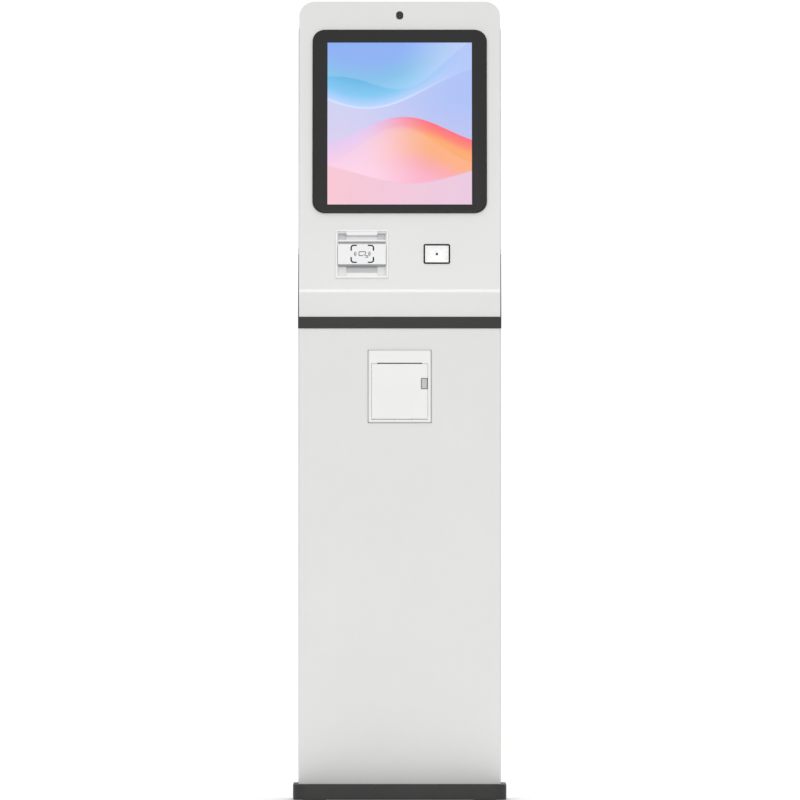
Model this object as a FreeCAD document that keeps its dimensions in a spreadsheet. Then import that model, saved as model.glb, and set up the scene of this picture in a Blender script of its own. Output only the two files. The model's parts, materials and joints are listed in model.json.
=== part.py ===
"""Self-service payment kiosk: a slim steel column on a plinth, with a tilted display head.

Millimetres. +Z is up, the customer stands at -Y, and the origin is the middle of the footprint
on the floor. Pieces on the tilted front of the head are drawn in the face frame: x across, y up
along the tilted face, z straight out of it. Pieces between column and head are drawn in the neck
frame, which lies along the sloping top of the column.
"""

import FreeCAD, Part
import math
import os
import re
import Sketcher

SIZES = {
    # whole machine
    "total_height": 1500, "tilt": 25, "front_y": -138, "seam_y": 110, "rear_y": 140,
    "core_half": 190, "head_half": 188.8, "wide_half": 190.3, "steel": 1.5,
    "fit": 0.3, "beyond": 12,
    # plinth
    "base_width": 400, "base_depth": 400, "base_corner": 28, "base_top": 30, "base_sheet": 3,
    "floor_gap": 1.5, "base_edge": 1.5, "foot_reach": 160, "foot_radius": 22, "foot_height": 8,
    "stud_radius": 5, "stud_disc": 3, "anchor_x": 150, "anchor_y": 80, "anchor_radius": 6,
    "cable_y": 40, "cable_radius": 25, "grommet_bore": 18, "grommet_lip": 4,
    "frame_inner": 162, "frame_front": 108, "frame_back": 92, "frame_sheet": 3,
    "base_bolt_x": 175, "base_bolt_y": 90, "bolt_radius": 4, "bolt_hole": 4.2,
    "bolt_head_radius": 6.5, "bolt_head": 5,
    # column
    "return_lip": 17, "bend": 3, "band_low": 885, "band_high": 906, "band_proud": 1.5,
    "band_half": 190.7, "sill_top": 108, "door_low": 110, "door_high": 840,
    "rail_low": 842, "rail_high": 853, "neck_inner": 150, "neck_front": 38, "neck_back": 205,
    "neck_plate": 3, "neck_bolt_x": 170, "neck_bolt_step": 80, "neck_bolt_first": 50,
    # rear door
    "hinge_x": 184, "hinge_y": 128, "hinge_radius": 3, "hinge_bore": 3.05, "hinge_block": 14,
    "lock_x": -160, "lock_z": 475, "lock_radius": 9, "plug_radius": 6, "plug_gap": 0.06,
    "lock_head": 11.5, "cam_reach": 25, "cam_half": 6, "cam_sheet": 2.5, "slot_high": 4,
    "slot_pitch": 11, "slot_half": 60, "slot_count": 8,
    # head
    "lip_top": 955, "slab": 90, "shell_slab": 65, "shell_depth": 253, "head_depth": 278,
    "head_wall": 2, "head_corner": 30, "fold": 25, "cover_seam": 0.5, "cover_wall": 1.5,
    # display, in the face frame
    "bezel_half": 163.9, "bezel_low": 160.3, "bezel_high": 540.8, "bezel_proud": 6,
    "bezel_corner": 24, "bezel_edge": 2.2, "screen_half": 135.65, "screen_low": 176.05,
    "screen_high": 513.7, "bezel_lip": 2, "glass": 3, "glass_border": 5, "panel_sheet": 0.6,
    "chassis_half": 148, "chassis_low": 166, "chassis_high": 524, "chassis_deep": 20,
    "face_cut": 1.5, "bracket_wide": 22, "board_sheet": 1.6,
    # camera, in the face frame
    "camera_v": 572.6, "camera_half": 6.35, "camera_long": 8.3, "camera_proud": 0.5,
    # card reader, in the face frame
    "reader_u": -70.9, "reader_v": 75, "reader_half": 49.7, "reader_rim": 4, "reader_wall": 3.2,
    "reader_floor": 6, "reader_deep": 30, "reader_channel": 29, "channel_deep": 3,
    "reader_ledge": 5, "ledge_top": 2.5,
    "reader_flange": 2.2, "well_inset": 5.5, "ridge_low": 100.7, "ridge_high": 104,
    "pad_low": 52.2, "pad_high": 94, "pad_proud": 6,
    # code scanner, in the face frame
    "scanner_u": 69.7, "scanner_v": 75.8, "scanner_half_u": 24.85, "scanner_half_v": 20.3,
    "scanner_border": 2.7, "scanner_proud": 1.5, "scanner_corner": 3.2, "scanner_deep": 26,
    "scanner_eye": 2, "engine_half_u": 13, "engine_half_v": 10, "engine_deep": 14,
    # receipt printer
    "printer_half": 58.8, "printer_low": 708, "printer_high": 843, "printer_proud": 4.5,
    "leaf_half": 52.6, "leaf_low": 713.8, "leaf_high": 817.8, "leaf_front": -143,
    "leaf_thick": 6, "leaf_gap": 0.5, "slot_half_wide": 42.2, "slot_gap": 2,
    "leaf_pin_y": -140, "leaf_pin_z": 716.9, "leaf_pin_radius": 1.5, "leaf_pin_bore": 1.55,
    "latch_low": 770.6, "latch_high": 791, "latch_in": 40.1, "latch_out": 52.0,
    "case_half": 56, "case_wall": 2, "case_low": 716.3, "case_high": 838, "case_back": -58,
    "roll_y": -95.2, "roll_z": 748, "roll_radius": 29, "roll_core": 8.5, "roll_half": 39.8,
    "platen_y": -126, "platen_z": 807, "platen_radius": 6, "platen_half": 40,
    "shaft_radius": 2, "shaft_bore": 2.05, "cheek_in": 41.5, "cheek_out": 44.5,
    "gear_module": 0.8, "platen_teeth": 20, "pinion_teeth": 12, "gear_in": 47, "gear_out": 51,
    "motor_radius": 12, "motor_long": 16,
    # fan
    "fan_z": 925, "fan_half": 40, "fan_bore": 38, "fan_deep": 25, "fan_hub": 15,
    "fan_blade": 36.5, "fan_blades": 7, "guard_wire": 1,
    # equipment
    "shelf_z": 320, "shelf_sheet": 2, "shelf_half": 188.3, "shelf_front": -120, "shelf_back": 70,
    "shelf_turn": 20, "computer_low_x": -20, "computer_high_x": 160, "computer_high": 44,
    "supply_low_x": -165, "supply_high_x": -60, "supply_high": 50, "unit_front": -105,
    "unit_back": 50, "fin_high": 12, "fin_wide": 4, "fin_count": 12, "vent_wide": 4,
    "vent_deep": 3, "vent_spread": 80, "vent_count": 9, "rail_z": 180, "rail_half": 110,
    "rail_tall": 35, "rail_waist": 26, "rail_deep": 7.5, "rail_sheet": 1, "breaker_x": -36,
    "breaker_wide": 36, "breaker_tall": 84, "breaker_nose": 44, "breaker_shoulder": 50,
    "breaker_deep": 66,
    # mains inlet
    "inlet_x": -106, "inlet_z": 68, "inlet_half_x": 24, "inlet_half_z": 13.5,
    "inlet_flange": 3, "inlet_deep": 24, "socket_x": -114.5, "socket_half_x": 12.5,
    "socket_half_z": 8.5, "socket_deep": 16, "pin_pitch": 7, "rocker_x": -91.5,
    "rocker_half": 6.5, "rocker_tall": 8.6, "rocker_y": 133, "rocker_well": 12,
    # leads inside
    "mains_radius": 3.5, "signal_radius": 2.5,
}

doc = FreeCAD.newDocument("kiosk")
sheet = doc.addObject("Spreadsheet::Sheet", "Sizes")
for row, (alias, number) in enumerate(SIZES.items(), start=1):
    sheet.set(f"A{row}", alias)
    sheet.set(f"B{row}", str(number))
    sheet.setAlias(f"B{row}", alias)
doc.recompute()

ALIASES = re.compile(r"\b(" + "|".join(SIZES) + r")\b")


# ---------------------------------------------------------------- expressions

def bind(text):
    """An expression in the sheet's names, with the sheet's own name put before each."""
    return ALIASES.sub(r"Sizes.\1", str(text))


def value(text):
    found = sheet.evalExpression(bind(text))
    return float(getattr(found, "Value", found))


def slope(z, y):
    """Height of the sloping plane that starts at height z at the front, above the line y."""
    return f"({z} + ({y} - front_y) * tan(tilt))"


def face(back, up):
    """Face-frame point, given how far it is behind the front and above the fold."""
    return (
        f"(({back}) * sin(tilt) + ({up}) * cos(tilt))",
        f"(({up}) * sin(tilt) - ({back}) * cos(tilt))",
    )


def knee(thickness, depth):
    """Face-frame point where a plane parallel to the face meets a vertical plane behind it."""
    return face(depth, f"(({depth}) * cos(tilt) - ({thickness})) / sin(tilt)")


def neck(back, rise):
    """Neck-frame point on the vertical plane 'back' behind the front, 'rise' off the slope."""
    return (f"((({back}) + ({rise}) * sin(tilt)) / cos(tilt))", f"({rise})")


# ---------------------------------------------------------------- sketches

def polygon(points):
    """A closed outline of straight lines, each corner bound to its two expressions."""
    def draw(sketch):
        first = sketch.GeometryCount
        corners = [FreeCAD.Vector(value(x), value(y), 0) for x, y in points]
        count = len(corners)
        for i in range(count):
            sketch.addGeometry(Part.LineSegment(corners[i], corners[(i + 1) % count]), False)
        for i in range(count):
            following = first + (i + 1) % count
            sketch.addConstraint(Sketcher.Constraint("Coincident", first + i, 2, following, 1))
        for i, (x, y) in enumerate(points):
            hold(sketch, "DistanceX", first + i, 1, x)
            hold(sketch, "DistanceY", first + i, 1, y)
    return draw


def hold(sketch, kind, geometry, point, expression):
    """Fix one coordinate of a point of the sketch to an expression."""
    made = Sketcher.Constraint(kind, -1, 1, geometry, point, value(expression))
    index = sketch.addConstraint(made)
    sketch.setExpression(f"Constraints[{index}]", bind(expression))


def box(x_low, x_high, y_low, y_high):
    return polygon([(x_low, y_low), (x_high, y_low), (x_high, y_high), (x_low, y_high)])


def disc(x, y, radius):
    def draw(sketch):
        centre = FreeCAD.Vector(value(x), value(y), 0)
        circle = Part.Circle(centre, FreeCAD.Vector(0, 0, 1), value(radius))
        index = sketch.addGeometry(circle, False)
        hold(sketch, "DistanceX", index, 3, x)
        hold(sketch, "DistanceY", index, 3, y)
        bound = sketch.addConstraint(Sketcher.Constraint("Radius", index, value(radius)))
        sketch.setExpression(f"Constraints[{bound}]", bind(radius))
    return draw


def rounded(x_low, x_high, y_low, y_high, radius):
    """A rectangle with four equal round corners: arcs and lines joined end to end, tangent."""
    corners = [(x_high, y_high, -1, -1, 0), (x_low, y_high, 1, -1, 90),
               (x_low, y_low, 1, 1, 180), (x_high, y_low, -1, 1, 270)]

    def draw(sketch):
        arcs = []
        for x, y, toward_x, toward_y, start in corners:
            x_centre = f"({x} + {toward_x} * ({radius}))"
            y_centre = f"({y} + {toward_y} * ({radius}))"
            centre = FreeCAD.Vector(value(x_centre), value(y_centre), 0)
            circle = Part.Circle(centre, FreeCAD.Vector(0, 0, 1), value(radius))
            arc = Part.ArcOfCircle(circle, math.radians(start), math.radians(start + 90))
            arcs.append((sketch.addGeometry(arc, False), arc, x_centre, y_centre))
        for i, (index, arc, _, _) in enumerate(arcs):
            after, next_arc = arcs[(i + 1) % 4][:2]
            line = Part.LineSegment(arc.EndPoint, next_arc.StartPoint)
            side = sketch.addGeometry(line, False)
            sketch.addConstraint(Sketcher.Constraint("Tangent", index, 2, side, 1))
            sketch.addConstraint(Sketcher.Constraint("Tangent", side, 2, after, 1))
        for index, _, x_centre, y_centre in arcs:
            hold(sketch, "DistanceX", index, 3, x_centre)
            hold(sketch, "DistanceY", index, 3, y_centre)
            bound = sketch.addConstraint(Sketcher.Constraint("Radius", index, value(radius)))
            sketch.setExpression(f"Constraints[{bound}]", bind(radius))
    return draw


# ---------------------------------------------------------------- features

OUTWARD = {"XY": 1, "XZ": -1, "YZ": 1}  # sketch normal against the axis that it lies across


def body(label):
    made = doc.addObject("PartDesign::Body", label)
    made.Label = label
    made.AllowCompound = True
    return made


def sketch_on(piece, plane, position, shapes):
    origin_plane = next(f for f in piece.Origin.OriginFeatures if f.Role == plane + "_Plane")
    sketch = piece.newObject("Sketcher::SketchObject", piece.Name + "_sketch")
    sketch.AttachmentSupport = [(origin_plane, "")]
    sketch.MapMode = "FlatFace"
    sketch.setExpression("AttachmentOffset.Base.z", bind(f"{OUTWARD[plane]} * ({position})"))
    for shape in shapes:
        shape(sketch)
    sketch.Visibility = False
    return sketch


def add(piece, plane, shapes, low, high):
    """Material between two heights across the plane's axis."""
    start = low if OUTWARD[plane] > 0 else high
    feature = piece.newObject("PartDesign::Pad", piece.Name + "_pad")
    feature.Profile = sketch_on(piece, plane, start, shapes)
    feature.setExpression("Length", bind(f"({high}) - ({low})"))
    doc.recompute()
    return feature


def cut(piece, plane, shapes, low, high):
    """Material taken away between two heights across the plane's axis."""
    before = piece.Shape.Volume
    start = high if OUTWARD[plane] > 0 else low
    sketch = sketch_on(piece, plane, start, shapes)
    feature = piece.newObject("PartDesign::Pocket", piece.Name + "_cut")
    feature.Profile = sketch
    feature.setExpression("Length", bind(f"({high}) - ({low})"))
    doc.recompute()
    if piece.Shape.Volume > before - 1e-3:
        raise ValueError(f"{piece.Label}: a cut on {plane} from {low} to {high} removed nothing")
    return feature


def dress(piece, kind, size, pick):
    """A fillet or chamfer on the edges of the solid so far that pick accepts."""
    base = piece.Tip
    edges = [f"Edge{i}" for i, edge in enumerate(base.Shape.Edges, start=1) if pick(edge)]
    if not edges:
        raise ValueError(f"{piece.Label}: no edge to dress")
    feature = piece.newObject("PartDesign::" + kind, piece.Name + "_" + kind.lower())
    feature.Base = (base, edges)
    feature.setExpression("Radius" if kind == "Fillet" else "Size", bind(size))
    doc.recompute()


def repeat(piece, feature, kind, direction, size, count):
    """A linear or polar pattern of one feature."""
    pattern = piece.newObject("PartDesign::" + kind, piece.Name + "_pattern")
    pattern.Originals = [feature]
    axis = next(f for f in piece.Origin.OriginFeatures if f.Role == direction)
    if kind == "PolarPattern":
        pattern.Axis = (axis, [""])
        pattern.Angle = 360
    else:
        pattern.Direction = (axis, [""])
        pattern.setExpression("Length", bind(size))
    pattern.setExpression("Occurrences", bind(count))
    piece.Tip = pattern
    doc.recompute()


def along(axis, where):
    """Picks straight edges parallel to an axis whose middle passes the test."""
    others = [a for a in "XYZ" if a != axis]

    def pick(edge):
        bounds = edge.BoundBox
        flat = all(getattr(bounds, a + "Length") < 1e-6 for a in others)
        return flat and where(edge.CenterOfMass)
    return pick


def level(height):
    """Picks every edge that lies in one horizontal plane of the piece's own frame."""
    return lambda edge: (edge.BoundBox.ZLength < 1e-6
                         and abs(edge.CenterOfMass.z - height) < 1e-6)


def place(piece, frame):
    """Put a piece that was drawn in the face frame or in the neck frame where it belongs."""
    turn = {"face": 90 - value("tilt"), "neck": value("tilt")}[frame]
    rise = {"face": "lip_top", "neck": "band_low"}[frame]
    rotation = FreeCAD.Rotation(FreeCAD.Vector(1, 0, 0), turn)
    piece.Placement = FreeCAD.Placement(FreeCAD.Vector(0, 0, 0), rotation)
    piece.setExpression("Placement.Base.y", bind("front_y"))
    piece.setExpression("Placement.Base.z", bind(rise))


def spin(piece, x, y, z, axis, angle):
    """Put a piece that was drawn about its own origin at a point, turned about one axis."""
    piece.Placement = FreeCAD.Placement(FreeCAD.Vector(0, 0, 0),
                                        FreeCAD.Rotation(FreeCAD.Vector(*axis), angle))
    for name, expression in zip("xyz", (x, y, z)):
        piece.setExpression(f"Placement.Base.{name}", bind(expression))


def solid(label, plane, shapes, low, high, frame=None):
    """A piece that is one outline between two heights."""
    piece = body(label)
    add(piece, plane, shapes, low, high)
    if frame:
        place(piece, frame)
    return piece


# ---------------------------------------------------------------- plinth

def anchor_holes():
    return [disc(f"{side} * anchor_x", f"{end} * anchor_y", "anchor_radius")
            for side in (-1, 1) for end in (-1, 1)]


def base_bolt_places(radius):
    return [disc(f"{side} * base_bolt_x", f"{step} * base_bolt_y", radius)
            for side in (-1, 1) for step in (-1, 0, 1)]


def foot_places(radius):
    return [disc(f"{side} * foot_reach", f"{end} * foot_reach", radius)
            for side in (-1, 1) for end in (-1, 1)]


def make_plinth():
    plate = body("base_plate")
    add(plate, "XY", [rounded("-base_width / 2", "base_width / 2", "-base_depth / 2",
                              "base_depth / 2", "base_corner")], "floor_gap", "base_top")
    inner = "base_sheet"
    cut(plate, "XY", [rounded(f"{inner} - base_width / 2", f"base_width / 2 - {inner}",
                              f"{inner} - base_depth / 2", f"base_depth / 2 - {inner}",
                              f"base_corner - {inner}")], "floor_gap", "base_top - base_sheet")
    dress(plate, "Fillet", "base_edge", level(value("base_top")))
    cut(plate, "XY", anchor_holes() + base_bolt_places("bolt_hole")
        + [disc("0", "cable_y", "cable_radius")], "base_top - base_sheet", "base_top")

    solid("rubber_feet", "XY", foot_places("foot_radius"), "0", "foot_height")
    studs = body("foot_studs")
    add(studs, "XY", foot_places("foot_radius - 6"), "foot_height", "foot_height + stud_disc")
    add(studs, "XY", foot_places("stud_radius"), "foot_height + stud_disc",
        "base_top - base_sheet")

    grommet = body("cable_grommet")
    add(grommet, "XY", [disc("0", "cable_y", "cable_radius")], "base_top - base_sheet",
        "base_top")
    add(grommet, "XY", [disc("0", "cable_y", "cable_radius + grommet_lip")], "base_top",
        "base_top + grommet_lip / 2")
    cut(grommet, "XY", [disc("0", "cable_y", "grommet_bore")], "base_top - base_sheet",
        "base_top + grommet_lip / 2")

    frame = body("column_foot_frame")
    add(frame, "XY", [box("steel + fit - core_half", "core_half - steel - fit",
                          "front_y + steel + 2 * fit", "seam_y - steel - fit")],
        "base_top", "base_top + frame_sheet")
    cut(frame, "XY", [box("-frame_inner", "frame_inner", "-frame_front", "frame_back")],
        "base_top", "base_top + frame_sheet")
    cut(frame, "XY", base_bolt_places("bolt_hole"), "base_top", "base_top + frame_sheet")

    bolts = body("base_bolts")
    add(bolts, "XY", base_bolt_places("bolt_radius"), "base_top - 2 * bolt_head",
        "base_top + frame_sheet")
    add(bolts, "XY", base_bolt_places("bolt_head_radius"), "base_top + frame_sheet",
        "base_top + frame_sheet + bolt_head")


# ---------------------------------------------------------------- column

def trim_above(piece, z):
    """Take off everything above the sloping plane that starts at height z at the front."""
    cut(piece, "YZ", [polygon([("front_y - beyond", slope(z, "(front_y - beyond)")),
                               ("rear_y + beyond", slope(z, "(rear_y + beyond)")),
                               ("rear_y + beyond", "total_height"),
                               ("front_y - beyond", "total_height")])],
        "-base_width / 2", "base_width / 2")


def make_column():
    right = [("core_half", "front_y"), ("core_half", "seam_y"),
             ("core_half - return_lip", "seam_y"), ("core_half - return_lip", "seam_y - steel"),
             ("core_half - steel", "seam_y - steel"), ("core_half - steel", "front_y + steel")]
    left = [(f"-({x})", y) for x, y in reversed(right)]
    shell = body("column_shell")
    add(shell, "XY", [polygon(right + left)], "base_top", slope("band_low", "seam_y"))
    at_front = value("front_y")
    inside = at_front + value("steel")
    dress(shell, "Fillet", "bend", along("Z", lambda c: abs(c.y - at_front) < 1e-6))
    dress(shell, "Fillet", "bend - steel", along("Z", lambda c: abs(c.y - inside) < 1e-6))
    trim_above(shell, "band_low")
    cut(shell, "XZ", [box("-(case_half + fit)", "case_half + fit", "printer_low + 3",
                          "printer_high - 3")], "front_y", "front_y + steel")

    sill = body("lower_rear_panel")
    add(sill, "XY", [box("-core_half", "core_half", "seam_y", "rear_y - steel")], "base_top",
        "sill_top")
    cut(sill, "XY", [box("steel - core_half", "core_half - steel", "seam_y",
                         "rear_y - 2 * steel")], "base_top", "sill_top - steel")
    cut(sill, "XZ", [box("inlet_x - inlet_half_x - fit", "inlet_x + inlet_half_x + fit",
                         "inlet_z - inlet_half_z - fit", "inlet_z + inlet_half_z + fit")],
        "rear_y - 2 * steel", "rear_y - steel")

    rail = body("upper_door_rail")
    add(rail, "XY", [box("-core_half", "core_half", "seam_y", "rear_y - steel")], "rail_low",
        "rail_high")
    cut(rail, "XY", [box("steel - core_half", "core_half - steel", "seam_y + steel",
                         "rear_y - 2 * steel")], "rail_low + steel", "rail_high")

    upper = body("upper_rear_panel")
    add(upper, "XY", [box("-wide_half", "wide_half", "seam_y", "rear_y")], "rail_high",
        slope("band_low", "rear_y"))
    cut(upper, "XY", [box("steel - wide_half", "wide_half - steel", "seam_y",
                          "rear_y - steel")], "rail_high", slope("band_low", "rear_y"))
    trim_above(upper, "band_low")
    slots = ("-slot_half / 2", "slot_half / 2")
    first = cut(upper, "XZ", [box(*slots, "fan_z - 3.5 * slot_pitch - slot_high / 2",
                                  "fan_z - 3.5 * slot_pitch + slot_high / 2")],
                "rear_y - steel", "rear_y")
    repeat(upper, first, "LinearPattern", "Z_Axis", "slot_pitch * (slot_count - 1)",
           "slot_count")

    pins = body("door_hinge_pins")
    gap = "(door_low - sill_top)"
    for low, high, cap in (("sill_top - steel - 3", f"door_low + {gap} + hinge_block - 2", -1),
                           (f"door_high - {gap} - hinge_block + 2", "rail_low + steel + 3", 1)):
        add(pins, "XY", [disc("hinge_x", "hinge_y", "hinge_radius")], low, high)
        head = (low, f"{low} + 3") if cap < 0 else (f"{high} - 3", high)
        add(pins, "XY", [disc("hinge_x", "hinge_y", "hinge_radius + 0.6")], *head)
    for ledge, low, high in ((sill, "sill_top - steel", "sill_top"),
                             (rail, "rail_low", "rail_low + steel")):
        cut(ledge, "XY", [disc("hinge_x", "hinge_y", "hinge_radius")], low, high)


# ---------------------------------------------------------------- neck between column and head

def neck_bolt_places(radius):
    return [disc(f"{side} * neck_bolt_x", f"neck_bolt_first + {step} * neck_bolt_step", radius)
            for side in (-1, 1) for step in (0, 1, 2)]


def neck_ring(piece, low, high, half, front, back):
    """A ring that follows the slope, with upright front and rear faces, added to a piece."""
    add(piece, "YZ", [polygon([neck(front, low), neck(back, low), neck(back, high),
                               neck(front, high)])], f"-({half})", half)
    inner = [box("-neck_inner", "neck_inner", "neck_front", "neck_back / cos(tilt)")]
    cut(piece, "XY", inner, low, high)
    cut(piece, "XY", neck_bolt_places("bolt_hole"), low, high)


def make_neck():
    thick = "(band_high - band_low) * cos(tilt)"
    band = body("accent_band")
    neck_ring(band, "0", thick, "band_half", "-band_proud", "head_depth + band_proud / 2")
    dress(band, "Fillet", "bend / 2", lambda e: e.BoundBox.XLength < 1e-6
          and abs(abs(e.CenterOfMass.x) - value("band_half")) < 1e-6
          and e.Length < 2 * value(thick))
    place(band, "neck")
    plates = body("neck_plates")
    neck_ring(plates, "-neck_plate", "0", "core_half - steel - fit", "steel + 2 * fit",
              "seam_y - steel - front_y - fit")
    neck_ring(plates, thick, f"{thick} + neck_plate", "head_half - head_wall - fit",
              "head_wall + fit", "shell_depth")
    place(plates, "neck")
    bolts = body("neck_bolts")
    top = f"{thick} + neck_plate"
    add(bolts, "XY", neck_bolt_places("bolt_radius"), "-neck_plate", f"{top} + 2 * bolt_head")
    add(bolts, "XY", neck_bolt_places("bolt_head_radius"), "-neck_plate - bolt_head",
        "-neck_plate")
    add(bolts, "XY", neck_bolt_places("bolt_head_radius"), top, f"{top} + bolt_head")
    place(bolts, "neck")


# ---------------------------------------------------------------- rear door

def make_rear_door():
    door = body("rear_door")
    add(door, "XY", [box("-wide_half", "wide_half", "seam_y + 2", "rear_y")], "door_low",
        "door_high")
    cut(door, "XY", [box("steel - wide_half", "wide_half - steel", "seam_y + 2",
                         "rear_y - steel")], "door_low + steel", "door_high - steel")
    for ledge in ("door_low", "door_high - steel"):
        cut(door, "XY", [disc("hinge_x", "hinge_y", "hinge_bore")], ledge, f"{ledge} + steel")
    cut(door, "XZ", [disc("lock_x", "lock_z", "lock_radius")], "rear_y - steel", "rear_y")
    for low in ("door_low + 60", "door_high - 60 - slot_pitch * slot_count"):
        first = cut(door, "XZ", [box("-slot_half", "slot_half", low, f"{low} + slot_high")],
                    "rear_y - steel", "rear_y")
        repeat(door, first, "LinearPattern", "Z_Axis", "slot_pitch * (slot_count - 1)",
               "slot_count")

    blocks = body("door_hinge_blocks")
    sides = box("hinge_x - 6", "wide_half - steel", "hinge_y - 7", "rear_y - steel")
    for low in ("door_low + steel", "door_high - steel - hinge_block"):
        add(blocks, "XY", [sides], low, f"{low} + hinge_block")
        cut(blocks, "XY", [disc("hinge_x", "hinge_y", "hinge_bore")], low,
            f"{low} + hinge_block")

    housing = body("lock_housing")
    add(housing, "XZ", [disc("lock_x", "lock_z", "lock_radius")], "seam_y", "rear_y")
    add(housing, "XZ", [disc("lock_x", "lock_z", "lock_head")], "rear_y", "rear_y + 2")
    cut(housing, "XZ", [disc("lock_x", "lock_z", "plug_radius + plug_gap")], "seam_y",
        "rear_y + 2")
    plug = body("lock_plug")
    add(plug, "XZ", [disc("lock_x", "lock_z", "plug_radius")], "seam_y - 2", "rear_y + 2")
    cut(plug, "XZ", [box("lock_x - 1", "lock_x + 1", "lock_z - 4", "lock_z + 4")],
        "rear_y - 8", "rear_y + 2")
    cam = body("lock_cam")
    add(cam, "XZ", [box("lock_x - cam_half", "lock_x + cam_half", "lock_z - cam_reach",
                        "lock_z + cam_half")], "seam_y - 2 - cam_sheet", "seam_y - 2")
    dress(cam, "Fillet", "cam_half - 0.5", along("Y", lambda c: True))


# ---------------------------------------------------------------- head

def head_outline(slab, depth, foot="0"):
    """Side view of the head: upright lip, tilted face, square top, upright back."""
    low = "band_high - lip_top"
    length = "(total_height - lip_top) / cos(tilt)"
    return [face("0", low), ("0", "0"), (length, "0"), (length, f"-({slab})"),
            knee(slab, depth), face(depth, f"{low} + ({depth}) * tan(tilt)")]


def aperture(half, low, high):
    return box(f"-({half})", half, low, high)


def make_head_shell():
    length = "(total_height - lip_top) / cos(tilt)"
    wall = "head_wall"
    half = "head_half"
    shell = body("head_shell")
    add(shell, "YZ", [polygon(head_outline("shell_slab", "shell_depth"))], f"-{half}", half)
    hollow = [face(wall, "band_high - lip_top - beyond"), face(wall, f"-{wall} * tan(tilt / 2)"),
              (f"{length} - {wall}", f"-{wall}"), (f"{length} - {wall}", "-slab - beyond"),
              face("head_depth + slab", "total_height - lip_top"),
              face("head_depth + slab", "band_high - lip_top - beyond")]
    cut(shell, "YZ", [polygon(hollow)], f"{wall} - {half}", f"{half} - {wall}")
    top, side, thick = value(length), value(half), value(wall)
    dress(shell, "Fillet", f"head_corner - {wall}", along("Z", lambda c: c.y > top - 2 * thick
          and abs(abs(c.x) - side + thick) < 1e-6))
    dress(shell, "Fillet", "head_corner", along("Z", lambda c: abs(c.y - top) < 1e-6))
    dress(shell, "Fillet", f"fold - {wall}", along("X", lambda c: abs(c.y) < thick
          and -1.5 * thick < c.z < -0.5 * thick))
    dress(shell, "Fillet", "fold", along("X", lambda c: abs(c.y) < 1e-6 and abs(c.z) < 1e-6))
    cut(shell, "XY", [aperture("chassis_half + face_cut", "chassis_low - face_cut",
                               "chassis_high + face_cut")], f"-{wall}", "0")
    reader_cut = "(reader_half - reader_flange)"
    cut(shell, "XY", [box(f"reader_u - {reader_cut}", f"reader_u + {reader_cut}",
                          f"reader_v - {reader_cut}", f"reader_v + {reader_cut}"),
                      box("scanner_u - scanner_half_u + 1", "scanner_u + scanner_half_u - 1",
                          "scanner_v - scanner_half_v + 1", "scanner_v + scanner_half_v - 1"),
                      rounded("-camera_half - fit", "camera_half + fit",
                              "camera_v - camera_long - fit", "camera_v + camera_long + fit",
                              "camera_half + fit / 2")], f"-{wall}", "0")
    place(shell, "face")

    cover = body("head_rear_cover")
    seam = "cover_seam"
    low = "band_high - lip_top"
    add(cover, "YZ", [polygon([
        (length, f"-(shell_slab + {seam})"), (length, "-slab"), knee("slab", "head_depth"),
        face("head_depth", f"{low} + head_depth * tan(tilt)"),
        face(f"shell_depth + {seam}", f"{low} + (shell_depth + {seam}) * tan(tilt)"),
        knee(f"shell_slab + {seam}", f"shell_depth + {seam}")])], "-wide_half", "wide_half")
    wall = "cover_wall"
    cut(cover, "YZ", [polygon([
        (f"{length} - {wall}", "-shell_slab + beyond"), (f"{length} - {wall}", f"{wall} - slab"),
        knee(f"slab - {wall}", f"head_depth - {wall}"),
        face(f"head_depth - {wall}", f"{low} + head_depth * tan(tilt) - 2 * beyond"),
        face("shell_depth - beyond", f"{low} + head_depth * tan(tilt) - 2 * beyond"),
        knee("shell_slab - beyond", "shell_depth - beyond")])],
        f"{wall} - wide_half", f"wide_half - {wall}")
    side, thick = value("wide_half"), value(wall)
    dress(cover, "Fillet", f"head_corner - {wall}", along("Z", lambda c: c.y > top - 2 * thick
          and abs(abs(c.x) - side + thick) < 1e-6))
    dress(cover, "Fillet", "head_corner", along("Z", lambda c: abs(c.y - top) < 1e-6))
    place(cover, "face")


# ---------------------------------------------------------------- display

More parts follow.
